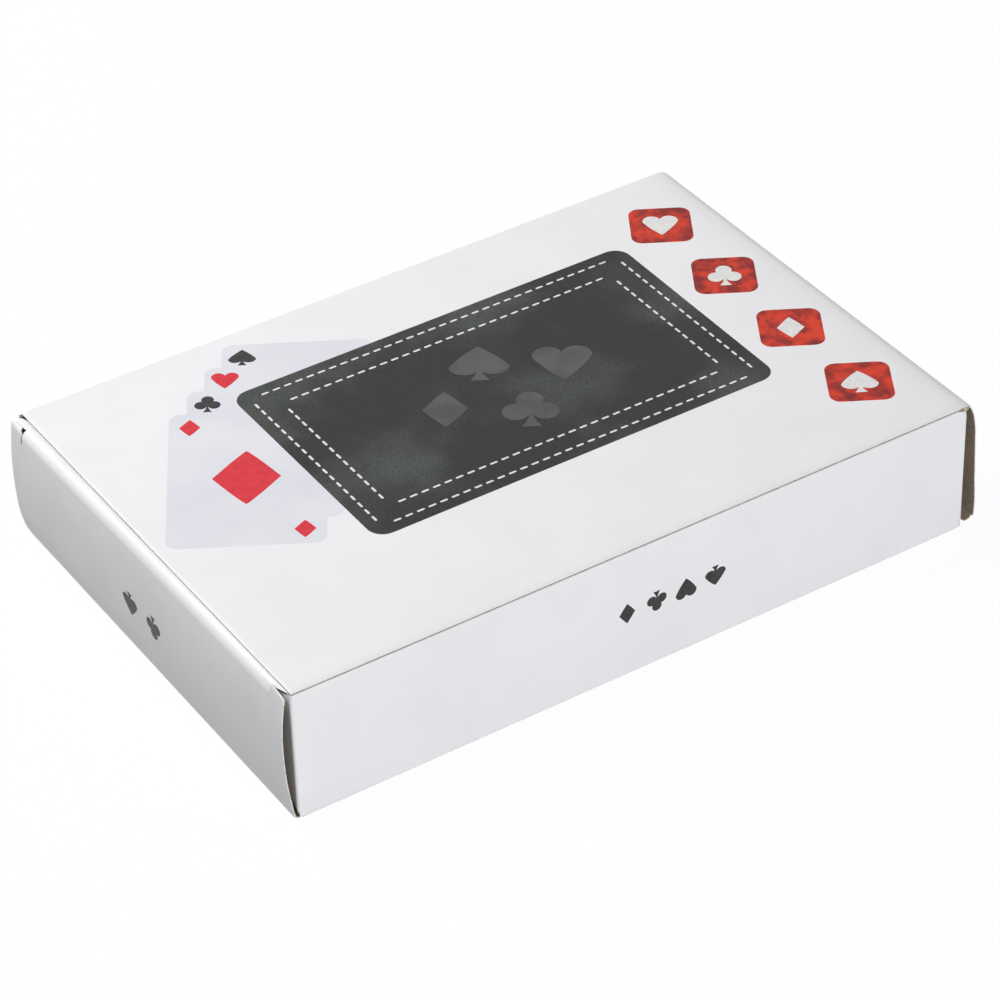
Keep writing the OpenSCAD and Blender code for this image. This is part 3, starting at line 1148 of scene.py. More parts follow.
@dataclass
class Sleeve:
    """Top, rear, bottom and front panels and the glue flap, folded from one sheet."""

    sizes: CartonSizes
    materials: Sequence[Material]
    step: float = 2.4
    across: int = 76
    chamfer: float = 0.3
    corner_cut: float = 0.12
    flap_gap: float = 0.02
    mark_gap: float = 0.03
    lip_marks: tuple[float, ...] = (0.12, 0.3, 0.55, 0.8, 1.1, 1.6, 2.3)
    end_shares: Triple = (0.0007, 0.0018, 0.005)
    fold_shares: Pair = (0.981, 0.991)
    crease_wear: float = 0.45
    end_wear: float = 0.7
    end_worn: float = 0.4
    lip_wear: float = 0.8
    # painted shade on the top panel: strength and reach of the grey beside the front edge, then
    # toward the right fold
    lip_shade: Pair = (1.1, 0.65)
    fold_shade: Pair = (0.62, 3.2)
    fray: float = 0.05

    def section(self) -> tuple[Array, Array, Array]:
        """Cross-section from the top panel's cut edge round to the glue flap's edge.

        Returns:
            The points (y, z), the number of each point's run, and how much each one bends.
        """
        s = self.sizes
        side = s.half_width - s.skin
        top = s.height - s.skin
        flap = s.height - s.board - self.flap_gap - s.sheet / 2
        corners = np.array(
            [
                [s.seam - s.half_width, top],
                [side, top],
                [side, s.skin],
                [-side, s.skin],
                [-side, flap],
                [s.board + s.glue_width - s.half_width, flap],
            ]
        )
        pair = self.mark_gap * np.array([-1, 1])
        notch = np.ravel((s.half_width - s.notch) * np.array([[-1], [1]]) + pair)
        flaps = [end.value + "_front_dust_flap" for end in End]
        heights = np.array([corner.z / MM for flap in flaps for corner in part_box(flap)])
        heights = np.ravel(heights[:, None] + pair)
        lip = s.seam - s.half_width + np.array(self.lip_marks)
        marks = [np.concatenate([notch, lip]), heights, notch, heights, np.array([])]
        radii = [s.crease, s.crease, s.crease, s.seam_crease]
        return rounded_path(corners, radii, self.step, marks)

    def reach(self, path: Array, run: Array, end: End) -> tuple[Array, Array]:
        """Distance from the middle to one end of the sheet, at each point of the section.

        Args:
            path: The section.
            run: Number of each point's run.
            end: Which end.

        Returns:
            The distance, and 1 where the sheet is cut there or 0 where a flap goes on.
        """
        s = self.sizes
        low, high = (b.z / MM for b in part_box(end.value + "_front_dust_flap"))
        y, z = path.T
        inner = np.abs(y) < s.half_width - s.notch
        level = (run == 0) | (run == 2)
        creased = ((run == 1) | (run == 3)) & (z > low) & (z < high)
        hinged = (run == (2 if end is End.LEFT else 0)) & inner
        side = np.where(run < 2, s.side(end, True), s.side(end, False))
        panel = s.half_length - np.where(inner, 0, self.corner_cut)
        far = np.where(level, panel, side - self.corner_cut)
        far = np.where(hinged, s.half_length - s.roll(end), far)
        far = np.where(creased, side - s.dust_bend, far)
        if end is End.LEFT:
            far = np.where(run == 0, s.half_length - s.top_setback, far)
        glue = side - self.corner_cut - self.chamfer * (y + s.half_width)
        return np.where(run == 4, glue, far), np.where(creased | hinged, 0.0, 1.0)

    def build(self) -> None:
        """Carry the section along X between the two ends, with the panels' slight give."""
        s = self.sizes
        path, run, bend = self.section()
        close = np.array(self.end_shares)
        marks = [*close, *(1 - close), *self.fold_shares]
        share = np.union1d(np.linspace(0, 1, self.across), marks)
        left, left_cut = self.reach(path, run, End.LEFT)
        right, right_cut = self.reach(path, run, End.RIGHT)
        x = -left[:, None] + (left + right)[:, None] * share
        y, z = (np.broadcast_to(c[:, None], x.shape).copy() for c in path.T)
        panel = run[:, None]
        z -= np.where(panel == 0, s.panel_sag(x / s.half_length, y / s.half_width), 0)
        give = s.panel_sag(x / s.half_length, 2 * z / s.height - 1)
        y += np.where(panel == 3, give, 0)
        y -= np.where(panel == 1, give, 0)
        from_left = share * 2 * s.half_length
        from_right = (1 - share) * 2 * s.half_length
        ends = left_cut[:, None] * np.exp(-from_left / self.end_worn)
        ends = ends + right_cut[:, None] * np.exp(-from_right / self.end_worn)
        wear = np.maximum(self.crease_wear * bend[:, None], self.end_wear * ends)
        wear[0] = self.lip_wear
        cut = np.ones(x.shape)
        cut[:, 0] = left_cut * np.where(run == 0, 2, 1)
        cut[:, -1] = right_cut
        # Painted shade: the top panel greys beside its front cut edge and toward the right fold,
        # standing in for the shade of the rolled edge and the fold.
        lip, lip_reach = self.lip_shade
        fold, fold_reach = self.fold_shade
        from_front = y + s.half_width - s.seam
        painted_shade = lip * np.exp(-from_front / lip_reach) + fold * np.exp(-from_right / fold_reach)
        painted_shade = np.where(panel == 0, np.clip(painted_shade, 0, 1), 0)
        middle = np.stack([x, y, z], -1)
        sheet = Board(
            "folded_sleeve", middle, s.sheet, s.inside, self.materials, self.fray, 3, wear, cut, painted_shade
        )
        ride(sheet.build(), "carton", "carton_board", "carton_sleeve")


@dataclass
class EndFlaps:
    """Closure, tuck flap and two dust flaps of one end.

    Knots give the closure's outward reach at its near and far side edges, over shares of
    its height. A pair of values is for the near and the far side, in that order.
    """

    sizes: CartonSizes
    materials: Sequence[Material]
    end: End
    near: Knots
    far: Knots
    lift: float
    shoulder: float = 2.3
    ear: float = -0.5
    fold: float = 0.55
    slit: float = 5.2
    slit_edge: float = 0.08
    slit_span: float = 1.2
    hooks: Pair = (0.5, 1.5)
    hook_spreads: Pair = (0.16, 0.26)
    hook_shift: float = 0.05
    slit_widths: Pair = (0.0, 0.4)
    tilts: Pair = (0.8, -0.45)
    near_wing: Pair = (0.5, 0.85)
    far_wing: Pair = (0.66, 0.52)
    wing: float = 4.9
    wing_run: Pair = (1.8, 4.8)
    tuck_length: float = 12.5
    tuck_corner: float = 5.0
    pitch: float = math.radians(6)
    crease_rows: int = 8
    crease_weight: float = 0.78
    shoulder_weight: float = 0.74
    slope_step: float = 0.2
    bend_end: Pair = (0.35, 0.15)
    dust_low_taper: float = 0.42
    dust_high_taper: float = 0.14
    dust_tip: float = 3.0
    dust_gap: float = 0.1
    dust_flare: float = 0.85
    flare_run: Pair = (0.4, 2.4)
    fade_run: Pair = (4.5, 9.0)
    front_dust_rises: Pair = (3.2, 1.3)
    rear_dust_rises: Pair = (-1.6, -3.8)
    edge_wear: float = 0.7
    # painted shade on the closure beside its crease: strength, and the reach over which it fades
    crease_shade: float = 0.0
    shade_reach: float = 2.0

    @property
    def way(self) -> float:
        """-1 at the left end and 1 at the right end."""
        return -1.0 if self.end is End.LEFT else 1.0

    @property
    def slit_at(self) -> float:
        """Distance from the middle to the inner end of a slit."""
        return self.sizes.closure_half - self.slit

    @property
    def crease_rise(self) -> float:
        """Height of the tuck crease's corner above the closure's crease."""
        return self.sizes.closure_height + self.lift

    @property
    def shoulder_rise(self) -> float:
        """Height at which the closure starts to turn into the tuck flap."""
        return self.crease_rise - self.shoulder

    def out(self, y: Array, rise: Array) -> Array:
        """Outward reach of the closure.

        A smooth profile at each side edge, mixed in proportion to the place along Y.

        Args:
            y: Places along the closure's crease.
            rise: Heights above it.

        Returns:
            The reach beyond the crease.
        """
        share = rise / self.sizes.closure_height
        mixed = (y / self.sizes.closure_half + 1) / 2
        return smooth_curve(self.near, share) * (1 - mixed) + smooth_curve(self.far, share) * mixed

    def slope(self, y: Array, rise: float) -> Array:
        """Outward slope of the closure over a short step up from a height."""
        ahead = self.out(y, np.array(rise + self.slope_step))
        return (ahead - self.out(y, np.array(rise))) / self.slope_step

    def world(self, y: Array, out: Array, rise: Array) -> Array:
        """Put points of this end in the carton's frame.

        Args:
            y: Places along the closure's crease.
            out: Outward reach from the crease.
            rise: Heights above the crease, which hangs upside down at the right end.

        Returns:
            The points.
        """
        s = self.sizes
        z = s.left_hinge_z + rise if self.end is End.LEFT else s.right_hinge_z - rise
        x = self.way * (s.hinge_x + out)
        return np.stack(np.broadcast_arrays(x, y, z), -1)

    def columns(self, half: float) -> Array:
        """Places along Y, close together about the slits and at the side edges.

        Args:
            half: Half the sheet's width.

        Returns:
            The places, in order.
        """
        about = np.linspace(-self.slit_span, self.slit_span, 17) + self.slit_at
        about = np.concatenate([about, half - np.array([0.12, 0.3, 0.6])])
        every = np.concatenate([np.linspace(-half, half, 59), -about, about])
        return np.unique(np.round(every, 2))

    def upper_end(self, y: Array) -> tuple[Array, Array]:
        """Upper end of the closure.

        It stays at the shoulder between the slits, rises beyond them to the tilted ears,
        and a bell hooks it down at each slit.

        Args:
            y: Places along the closure's crease.

        Returns:
            The end's height, and 1 at the ears or 0 between the slits.
        """
        near = y < 0
        away = np.abs(y) - self.slit_at
        width = np.where(near, *self.slit_widths)
        ears = ease(away - width, -self.slit_edge, self.slit_edge)
        tilt = np.where(near, *self.tilts) * (1 - np.clip(away / self.slit, 0, 1))
        top = self.shoulder_rise + ears * (self.shoulder + self.ear + tilt)
        spread = np.where(near, *self.hook_spreads)
        bell = np.exp(-(((away - width / 2 + self.hook_shift) / spread) ** 2))
        return top - np.where(near, *self.hooks) * bell, ears

    def closure(self) -> None:
        """Sheet from the crease, up the bow, to the shoulder and, beside the slits, the ears.

        The crease is a round arc from the panel's plane to the bow.
        """
        s = self.sizes
        y = self.columns(s.closure_half)
        foot = self.out(y, np.array(self.fold))
        flat = s.half_length - s.hinge_x - s.roll(self.end)
        level = np.full_like(y, s.skin - s.board / 2)
        first = np.stack([np.full_like(y, flat), level], -1)
        corner = np.stack([foot - self.slope(y, self.fold) * (self.fold - level), level], -1)
        last = np.stack([foot, np.full_like(y, self.fold)], -1)
        t = np.linspace(0, 1, self.crease_rows)[:, None, None]
        crease = conic(first, corner, last, self.crease_weight, t)
        top, ears = self.upper_end(y)
        rise = self.fold + (top - self.fold) * np.linspace(0, 1, 54)[1:, None]
        bow = np.stack([self.out(y, rise), rise], -1)
        out, up = np.moveaxis(np.concatenate([crease, bow]), -1, 0)
        middle = self.world(y, out, up)
        wear = np.zeros(up.shape) + 0.75 * np.exp(-(s.closure_half - np.abs(y)) / 0.5)
        wear[: self.crease_rows] = np.maximum(wear[: self.crease_rows], 0.4)
        cut = np.full(up.shape, 2.0)
        cut[0] = 0
        cut[-1] = 2 * ears
        # painted shade, fading with the height above the crease
        painted_shade = self.crease_shade * np.exp(-np.maximum(up - self.fold, 0) / self.shade_reach)
        name = self.end.value
        sheet = Board(
            name + "_end_panel", middle, s.sheet, s.inside, self.materials, 0.09, 11, wear, cut, painted_shade
        )
        piece = sheet.build()
        zero = np.array(0.0)
        a = self.world(zero, np.array(flat), zero) * MM
        b = self.world(zero, np.array(self.bend_end[0]), self.fold + self.bend_end[1]) * MM
        name + "_closure"
        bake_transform(piece)
        settle(piece, "carton_board", name + "_closure")

    def shoulder_corner(self, y: Array) -> Array:
        """Corner (out, rise) of the shoulder, on the closure's own tangent.

        Args:
            y: Places along the closure's crease.

        Returns:
            The corners.
        """
        low = self.shoulder_rise
        out = self.out(y, np.array(low)) + self.slope(y, low - self.slope_step) * self.shoulder
        return np.stack([out, np.full_like(y, self.crease_rise)], -1)

    def tuck(self) -> None:
        """Sheet from the closure's shoulder to the tuck flap's round-cornered tip.

        The shoulder is a round arc that starts later beyond the slits. The flap then runs
        straight in; its half width is the wings', eased to the flap's, and a quarter circle
        at the tip.
        """
        s = self.sizes
        wide = s.tuck_half + self.wing
        columns = self.columns(wide)
        low = np.array(self.shoulder_rise)
        fall = self.tuck_length * math.sin(self.pitch) + self.lift
        lean = math.asin(fall / self.tuck_length)
        inward = np.array([-math.cos(lean), -math.sin(lean)])
        away = np.abs(columns) - self.slit_at
        ears = ease(away, -0.05, 0.2)
        begin, finish = (np.where(columns < 0, *ends) for ends in zip(self.near_wing, self.far_wing))
        late = ears * (begin + (finish - begin) * np.clip(away / self.slit, 0, 1))
        t = late + (1 - late) * np.linspace(0, 1, 14)[:, None]
        corner = self.shoulder_corner(columns)
        first = np.stack([self.out(columns, low), np.full_like(columns, low)], -1)
        last = corner + self.shoulder * inward
        arc = conic(first, corner, last, self.shoulder_weight, t[..., None])
        along = self.shoulder + (self.tuck_length - self.shoulder) * np.linspace(0, 1, 26)[1:]
        tip = along - (self.tuck_length - self.tuck_corner)
        tip = np.clip(tip, 0, self.tuck_corner * 0.9999)
        half = wide - self.wing * ease(along, *self.wing_run)
        half = half - self.tuck_corner + np.sqrt(self.tuck_corner**2 - tip**2)
        flap_y = half[:, None] * columns / wide
        flap = self.shoulder_corner(flap_y) + along[:, None, None] * inward
        out, up = np.moveaxis(np.concatenate([arc, flap]), -1, 0)
        middle = self.world(np.concatenate([np.broadcast_to(columns, t.shape), flap_y]), out, up)
        wear = np.zeros(up.shape)
        wear[:, 0] = wear[:, -1] = self.edge_wear
        wear[-1] = self.edge_wear
        cut = np.ones(up.shape)
        cut[0] = ears
        name = self.end.value
        sheet = Board(
            name + "_tuck_flap", middle, s.sheet, s.inside, self.materials, 0.05, 17, wear, cut
        )
        piece = sheet.build()
        zero = np.array([0.0])
        foot = self.shoulder_corner(zero)[0] + self.shoulder * inward
        a = self.world(zero, self.out(zero, zero + low), zero + low)[0]
        b = self.world(zero, foot[:1], foot[1:])[0]
        ends = self.shoulder_corner(np.array([-1.0, 1.0]) * s.closure_half)[:, 0]
        skew = (ends[1] - ends[0]) / (2 * s.closure_half)
        b[1] = -self.way * skew * (b[0] - a[0])
        name + "_closure"
        name + "_tuck"
        tuple(b * MM)
        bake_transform(piece)
        settle(piece, "carton_board", name + "_tuck")

    def dust(self, side: int) -> None:
        """Dust flap of the front or the rear panel.

        A strip that leaves the side panel, turns in round its crease and tapers to a tip
        with round corners.

        Args:
            side: -1 for the front panel, 1 for the rear panel.
        """
        s = self.sizes
        name = f"{self.end.value}_{'front' if side < 0 else 'rear'}_dust"
        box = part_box(name + "_flap")
        low, high = (corner.z / MM for corner in box)
        length = s.side_y - abs(box[int(side < 0)].y) / MM
        skin = s.half_width - s.skin
        fold_x = s.side(self.end, side > 0)
        turn = skin - s.dust_bend
        corners = np.array([[fold_x - s.dust_bend, skin], [fold_x, skin], [fold_x, turn]])
        bend = conic(*corners, math.sqrt(0.5), np.linspace(0, 1, 10)[:, None])
        tail_y = skin - np.linspace(s.dust_bend, length, 23)[1:]
        path = np.concatenate([bend, np.stack([np.full_like(tail_y, fold_x), tail_y], -1)])
        depth = np.clip(skin - path[:, 1], 0, length)
        taper = (high - low) * depth / length
        tip = np.clip(depth - (length - self.dust_tip), 0, self.dust_tip - 0.01)
        round_off = self.dust_tip - np.sqrt(self.dust_tip**2 - tip**2)
        spread = 1 - ease(depth, *self.flare_run)
        beside = (1 - spread) * (1 - ease(depth, *self.fade_run))
        room = (s.height - high if self.end is End.LEFT else low) - s.board - self.dust_gap
        rises = self.front_dust_rises if side < 0 else self.rear_dust_rises
        rise = min(rises[0], room) * spread + min(rises[1], room) * beside
        crease_side = self.dust_low_taper * taper + round_off - self.dust_flare * spread
        tuck_side = self.dust_high_taper * taper + round_off - rise
        under, over = crease_side, tuck_side
        if self.end is End.RIGHT:
            under, over = tuck_side, crease_side
        z = (low + under)[:, None] + (high - over - low - under)[:, None] * np.linspace(0, 1, 24)
        x = np.broadcast_to(self.way * path[:, :1], z.shape)
        y = np.broadcast_to(side * path[:, 1:], z.shape)
        wear = np.zeros(z.shape)
        wear[2 : len(bend)] = 0.3
        wear[len(bend) :, [0, -1]] = self.edge_wear
        cut = np.ones(wear.shape)
        cut[0] = 0
        middle = np.stack([x, y, z], -1)
        sheet = Board(name + "_leaf", middle, s.sheet, s.inside, self.materials, 0.05, 23, wear, cut)
        piece = sheet.build()
        a = np.array([self.way * corners[0, 0], side * skin, s.height / 2])
        b = np.array([self.way * fold_x, side * turn, s.height / 2])
        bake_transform(piece)
        settle(piece, "carton_board", name + "_flap")

    def face(self, y: Array, rise: Array) -> Array:
        """Points of the closure's coated face, half a sheet along the normal from its middle.

        Args:
            y: Places along the closure's crease.
            rise: Heights above it.

        Returns:
            The points.
        """
        step = 0.1
        here = self.world(y, self.out(y, rise), rise)
        up = self.world(y, self.out(y, rise + step), rise + step) - here
        along = self.world(y + step, self.out(y + step, rise), rise) - here
        normal = np.cross(along, up)
        normal /= np.linalg.norm(normal, axis=-1, keepdims=True)
        normal *= np.sign(normal[..., :1] * self.way)
        return here + normal * self.sizes.sheet / 2

    def build(self) -> None:
        """Make the four flaps."""
        self.closure()
        self.tuck()
        for side in (-1, 1):
            self.dust(side)


class Suit(Enum):
    """The four traditional suits."""

    SPADE = "spade"
    HEART = "heart"
    CLUB = "club"
    DIAMOND = "diamond"


def ruled(across: Array, low: Array, high: Array) -> Array:
    """Flat patch between two curves over the same X, in seven rows of equal share.

    Args:
        across: X of the curves' points.
        low: Y of the lower curve.
        high: Y of the upper curve.

    Returns:
        The patch's points.
    """
    gap = np.maximum(high - low, 0.006)
    y = low + gap * np.linspace(0, 1, 7)[:, None]
    return np.stack([np.broadcast_to(across, y.shape), y], -1)


def bulge(half: float, count: int) -> Array:
    """Places from -half to half that crowd toward the ends, as a sine does."""
    return half * np.sin(np.linspace(-np.pi / 2, np.pi / 2, count))


def heart_patch() -> Array:
    """Heart of unit height: two round lobes above, two bulging sides to a point below.

    Returns:
        The patch's points.
    """
    half, lobe, lobe_x, waist = 0.52, 0.27, 0.25, 0.22
    x = bulge(half, 41)
    high = waist + np.sqrt(np.maximum(lobe**2 - (np.abs(x) - lobe_x) ** 2, 0))
    low = -0.5 + 0.72 * (1 - (1 - (np.abs(x) / half) ** 1.08) ** 0.82)
    return ruled(x, low, high)


def disc_patch(x0: float, y0: float, radius: float) -> Array:
    """Round disc.

    Args:
        x0: X of its centre.
        y0: Y of its centre.
        radius: Its radius.

    Returns:
        The patch's points.
    """
    x = bulge(radius, 25)
    half = np.sqrt(np.maximum(radius**2 - x**2, 0))
    return ruled(x, -half, half) + np.array([x0, y0])


def stem_patch() -> Array:
    """Stem of a spade or club: a bar whose half width grows by a power to its foot.

    Returns:
        The patch's points.
    """
    down = np.linspace(0, 1, 9)[:, None]
    half = 0.025 + 0.15 * down**2.4
    x = half * np.linspace(-1, 1, 9)
    y = np.broadcast_to(-0.05 - 0.45 * down, x.shape)
    return np.stack([x, y], -1)


def suit_patches(suit: Suit) -> list[Array]:
    """Flat patches of one suit's mark, of unit height, centred on the origin.

    Args:
        suit: The suit.

    Returns:
        The patches, which may overlap.
    """
    if suit is Suit.HEART:
        return [heart_patch()]
    if suit is Suit.SPADE:
        return [heart_patch() * np.array([1.0, -0.84]) + np.array([0.0, 0.08]), stem_patch()]
    if suit is Suit.CLUB:
        leaf = 0.235
        leaves = [disc_patch(x, y, leaf) for x, y in ((0, 0.26), (-0.25, -0.07), (0.25, -0.07))]
        return [*leaves, disc_patch(0, 0.03, 0.12), stem_patch()]
    half = 0.39
    x = half * np.linspace(-1, 1, 33)
    high = 0.5 * (1 - (np.abs(x) / half) ** 1.1)
    return [ruled(x, -high, high)]


def round_patch(length: float, width: float, corner: float, columns: int, rows: int) -> Array:
    """Rectangle with round corners: each row's half length follows the corner circles.

    Args:
        length: Its size along X.
        width: Its size along Y.
        corner: Radius of the corners.
        columns: Points along X.
        rows: Points along Y.

    Returns:
        The patch's points.
    """
    y = bulge(width / 2, rows)
    into = np.clip(np.abs(y) - (width / 2 - corner), 0, corner)
    half = length / 2 - corner + np.sqrt(corner**2 - into**2)
    x = half[:, None] * np.linspace(-1, 1, columns)
    return np.stack([x, np.broadcast_to(y[:, None], x.shape)], -1)


def turned(patch: Array, angle: float, size: float, place: Sequence[float]) -> Array:
    """Flat patch, scaled, turned by an angle in degrees and moved."""
    c, s = math.cos(math.radians(angle)), math.sin(math.radians(angle))
    return size * patch @ np.array([[c, s], [-s, c]]) + np.array(place)


@dataclass
class Print:
    """Ink on the carton: a generic design of a grained panel, plain cards and suit marks."""

    sizes: CartonSizes
    left: EndFlaps
    inks: dict[str, Material]
    film: float = 0.012
    layer: float = 0.25
    overlap: float = 0.2
    panel_size: Pair = (104.0, 62.0)
    panel_place: Pair = (7.0, 6.0)
    panel_corner: float = 4.0
    stitch_insets: Pair = (3.2, 8.4)
    stitch_pitch: float = 2.9
    stitch_size: Triple = (2.0, 0.55, 0.26)
    rosette: Pair = (15.5, 10.5)
    rosette_mark: float = 13.0
    tilt: float = -30.0
    tile: float = 14.5
    tile_corner: float = 2.6
    tile_mark: float = 8.0
    tile_x: float = 72.0
    tile_rows: tuple[float, ...] = (39.0, 13.5, -12.0, -37.5)
    card_size: Pair = (34.0, 48.0)
    card_corner: float = 2.6
    card_place: Pair = (-34.0, 26.0)
    card_step: Pair = (-3.8, -8.6)
    pip: float = 6.0
    pip_inset: Pair = (4.6, 5.0)
    ace: float = 19.0
    front_mark: float = 5.2
    front_pitch: float = 7.6
    front_x: float = 7.0
    end_mark: float = 6.0
    end_y: float = 5.0

    def on_top(self, name: str, patches: Sequence[tuple[Array, float]], ink: str) -> None:
        """Films of ink on the top panel.

        Args:
            name: The piece's name.
            patches: Flat patches in X and Y, each with its number of layers below.
            ink: The ink's key.
        """
        films = []
        for patch, below in patches:
            z = self.sizes.top_face(patch[..., 0], patch[..., 1]) + self.film * (self.layer * below)
            films.append(np.concatenate([patch, z[..., None]], -1))
        self.joined(name, films, ink, "carton")

    def joined(self, name: str, films: Sequence[Array], ink: str, body: str) -> None:
        """Join films of ink into one piece that rides on a body.

        Args:
            name: The piece's name.
            films: Grids of points.
            ink: The ink's key.
            body: The body.
        """
        material = [self.inks[ink]]
        made = [Board(name, f, self.film, self.sizes.inside, material).build() for f in films]
        with bpy.context.temp_override(active_object=made[0], selected_editable_objects=made):
            bpy.ops.object.join()
        ride(made[0], body, "carton_board")

    def stacked(self, patches: Sequence[Array], below: float) -> list[tuple[Array, float]]:
        """Patches that may overlap, each a little above the one before."""
        return [(patch, below + self.overlap * k) for k, patch in enumerate(patches)]

    def marks(self, suit: Suit, size: float, place: Sequence[float]) -> list[Array]:
        """A suit's patches at a place, tilted as the whole design is."""
        return [turned(patch, self.tilt, size, place) for patch in suit_patches(suit)]

    def panel(self) -> None:
        """Grained panel with two rows of printed stitches and a rosette of suits."""
        length, width = self.panel_size
        place = np.array(self.panel_place)
        patch = round_patch(length, width, self.panel_corner, 90, 60) + place
        self.on_top("print_panel", [(patch, 4)], "grain")
        stitches = []
        for inset in self.stitch_insets:
            stitches += self.stitch_line(np.array([length, width]) / 2 - inset)
        self.on_top("print_stitches", [(p, 6) for p in stitches], "white")
        marks = []
        for suit, way in zip(Suit, [(0, 1), (1, 0), (0, -1), (-1, 0)]):
            spot = place + np.array(way) * np.array(self.rosette)
            marks += self.marks(suit, self.rosette_mark, spot)
        self.on_top("print_rosette", self.stacked(marks, 6), "sheen")

    def stitch_line(self, half: Array) -> list[Array]:
        """Printed stitches along a rectangle's four sides, each a slim bar with round ends.

        Args:
            half: Half the rectangle's two sizes.

        Returns:
            The bars' patches.
        """
        length = self.stitch_size[0]
        bar = round_patch(*self.stitch_size, 5, 3)
        bars = []
        for axis in (0, 1):
            count = int((2 * half[axis] - length) / self.stitch_pitch)
            places = (np.arange(count) - (count - 1) / 2) * self.stitch_pitch
            for side in (-1, 1):
                spots = np.stack([places, np.full(count, side * half[1 - axis])], -1)
                spots = (spots if axis == 0 else spots[:, ::-1]) + np.array(self.panel_place)
                bars += [turned(bar, 90 * axis, 1.0, spot) for spot in spots]
        return bars

    def cards(self) -> None:
        """Plain cards in a tilted step at the left, each with a pip of its suit in the corner."""
        blank = round_patch(*self.card_size, self.card_corner, 30, 40)
        corner = np.array(self.card_size) / 2 - np.array(self.pip_inset)
        corner = corner * np.array([-1, 1])
        step = turned(np.array(self.card_step), self.tilt, 1.0, (0.0, 0.0))
        inks: dict[str, list[tuple[Array, float]]] = {"black": [], "red": []}
        for k, suit in enumerate(Suit):
            place = np.array(self.card_place) + k * step
            card = turned(blank, self.tilt, 1.0, place)
            self.on_top(f"print_card_{k + 1}", [(card, 0.6 * k)], "pale")
            spots = [(corner, self.pip)]
            if suit is Suit.DIAMOND:
                spots += [(0 * corner, self.ace), (-corner, -self.pip)]
            ink = "red" if suit in (Suit.HEART, Suit.DIAMOND) else "black"
            for spot, size in spots:
                centre = turned(spot, self.tilt, 1.0, place)
                inks[ink] += self.stacked(self.marks(suit, size, centre), 3)
        for ink, pips in inks.items():
            self.on_top(f"print_{ink}_pips", pips, ink)

    def tiles(self) -> None:
        """Tilted red tiles in a column at the right, with a white suit mark on each."""
        tiles, marks = [], []
        square = round_patch(self.tile, self.tile, self.tile_corner, 24, 28)
        for suit, y in zip((Suit.HEART, Suit.CLUB, Suit.DIAMOND, Suit.SPADE), self.tile_rows):
            tiles.append((turned(square, self.tilt, 1.0, (self.tile_x, y)), 2))
            marks += self.marks(suit, self.tile_mark, (self.tile_x, y))
        self.on_top("print_tiles", tiles, "marble")
        self.on_top("print_tile_marks", self.stacked(marks, 4), "white")

    def front_marks(self) -> None:
        """Row of small suit marks in the middle of the front panel."""
        films = []
        for k, suit in enumerate(Suit):
            place = (self.front_x - self.front_pitch * (k - 1.5), self.sizes.height / 2)
            for n, patch in enumerate(suit_patches(suit)):
                x, z = np.moveaxis(turned(patch, 180, self.front_mark, place), -1, 0)
                y = self.sizes.front_face(x, z) - self.film * 0.1 * n
                films.append(np.stack([x, y, z], -1))
        self.joined("print_front_marks", films, "black", "carton")

    def end_marks(self) -> None:
        """Pair of small suit marks on the left closure."""
        films = []
        for suit, y in ((Suit.SPADE, self.end_y), (Suit.CLUB, -self.end_y)):
            for n, patch in enumerate(suit_patches(suit)):
                flat = turned(patch, 180, self.end_mark, (y, self.sizes.closure_height * 0.5))
                film = self.left.face(flat[..., 0], flat[..., 1])
                films.append(film - np.array([self.film * 0.1 * n, 0, 0]))
        self.joined("print_end_marks", films, "black", "left_closure")

    def build(self) -> None:
        """Print every design."""
        self.cards()
        self.panel()
        self.tiles()
        self.front_marks()
        self.end_marks()


def ring(half_x: float, half_y: float, corner: float) -> Array:
    """Closed rectangle with round corners, once round: four arcs and the lines between them.

    Args:
        half_x: Half its size along X.
        half_y: Half its size along Y.
        corner: Radius of the corners.

    Returns:
        The points, as many for any size.
    """
    corner = max(min(corner, half_x, half_y), 0.0)
    parts = []
    signs = np.array([[1, 1], [-1, 1], [-1, -1], [1, -1]])
    centres = signs * np.array([half_x - corner, half_y - corner])
    for k in range(4):
        angle = np.linspace(0, np.pi / 2, 7) + k * np.pi / 2
        arc = centres[k] + corner * np.stack([np.cos(angle), np.sin(angle)], -1)
        after = centres[(k + 1) % 4] + corner * np.array([np.cos(angle[-1]), np.sin(angle[-1])])
        share = np.linspace(0, 1, 34 if k % 2 == 0 else 24)[1:-1, None]
        parts += [arc, arc[-1] + (after - arc[-1]) * share]
    return np.concatenate(parts)


@dataclass
class Wrap:
    """Closed skin: a profile of insets and heights carried round a rounded rectangle."""

    name: str
    centre: float
    half: Pair
    corner: float
    profile: Array
    hoop: bool

    def build(self, material: Material) -> Piece:
        """Stack the rings and close them.

        Args:
            material: The skin's material.

        Returns:
            The piece.
        """
        x, y = self.half
        rings = np.stack([ring(x - d, y - d, self.corner - d) for d in self.profile[:, 0]])
        z = np.broadcast_to(self.profile[:, 1][:, None], rings.shape[:2])
        points = np.stack([rings[..., 0] + self.centre, rings[..., 1], z], -1)
        index = grid_index(*rings.shape[:2], around=True)
        if self.hoop:
            index = np.concatenate([index, index[:1]])
        return closed_skin(self.name, points, index_quads(index), material)


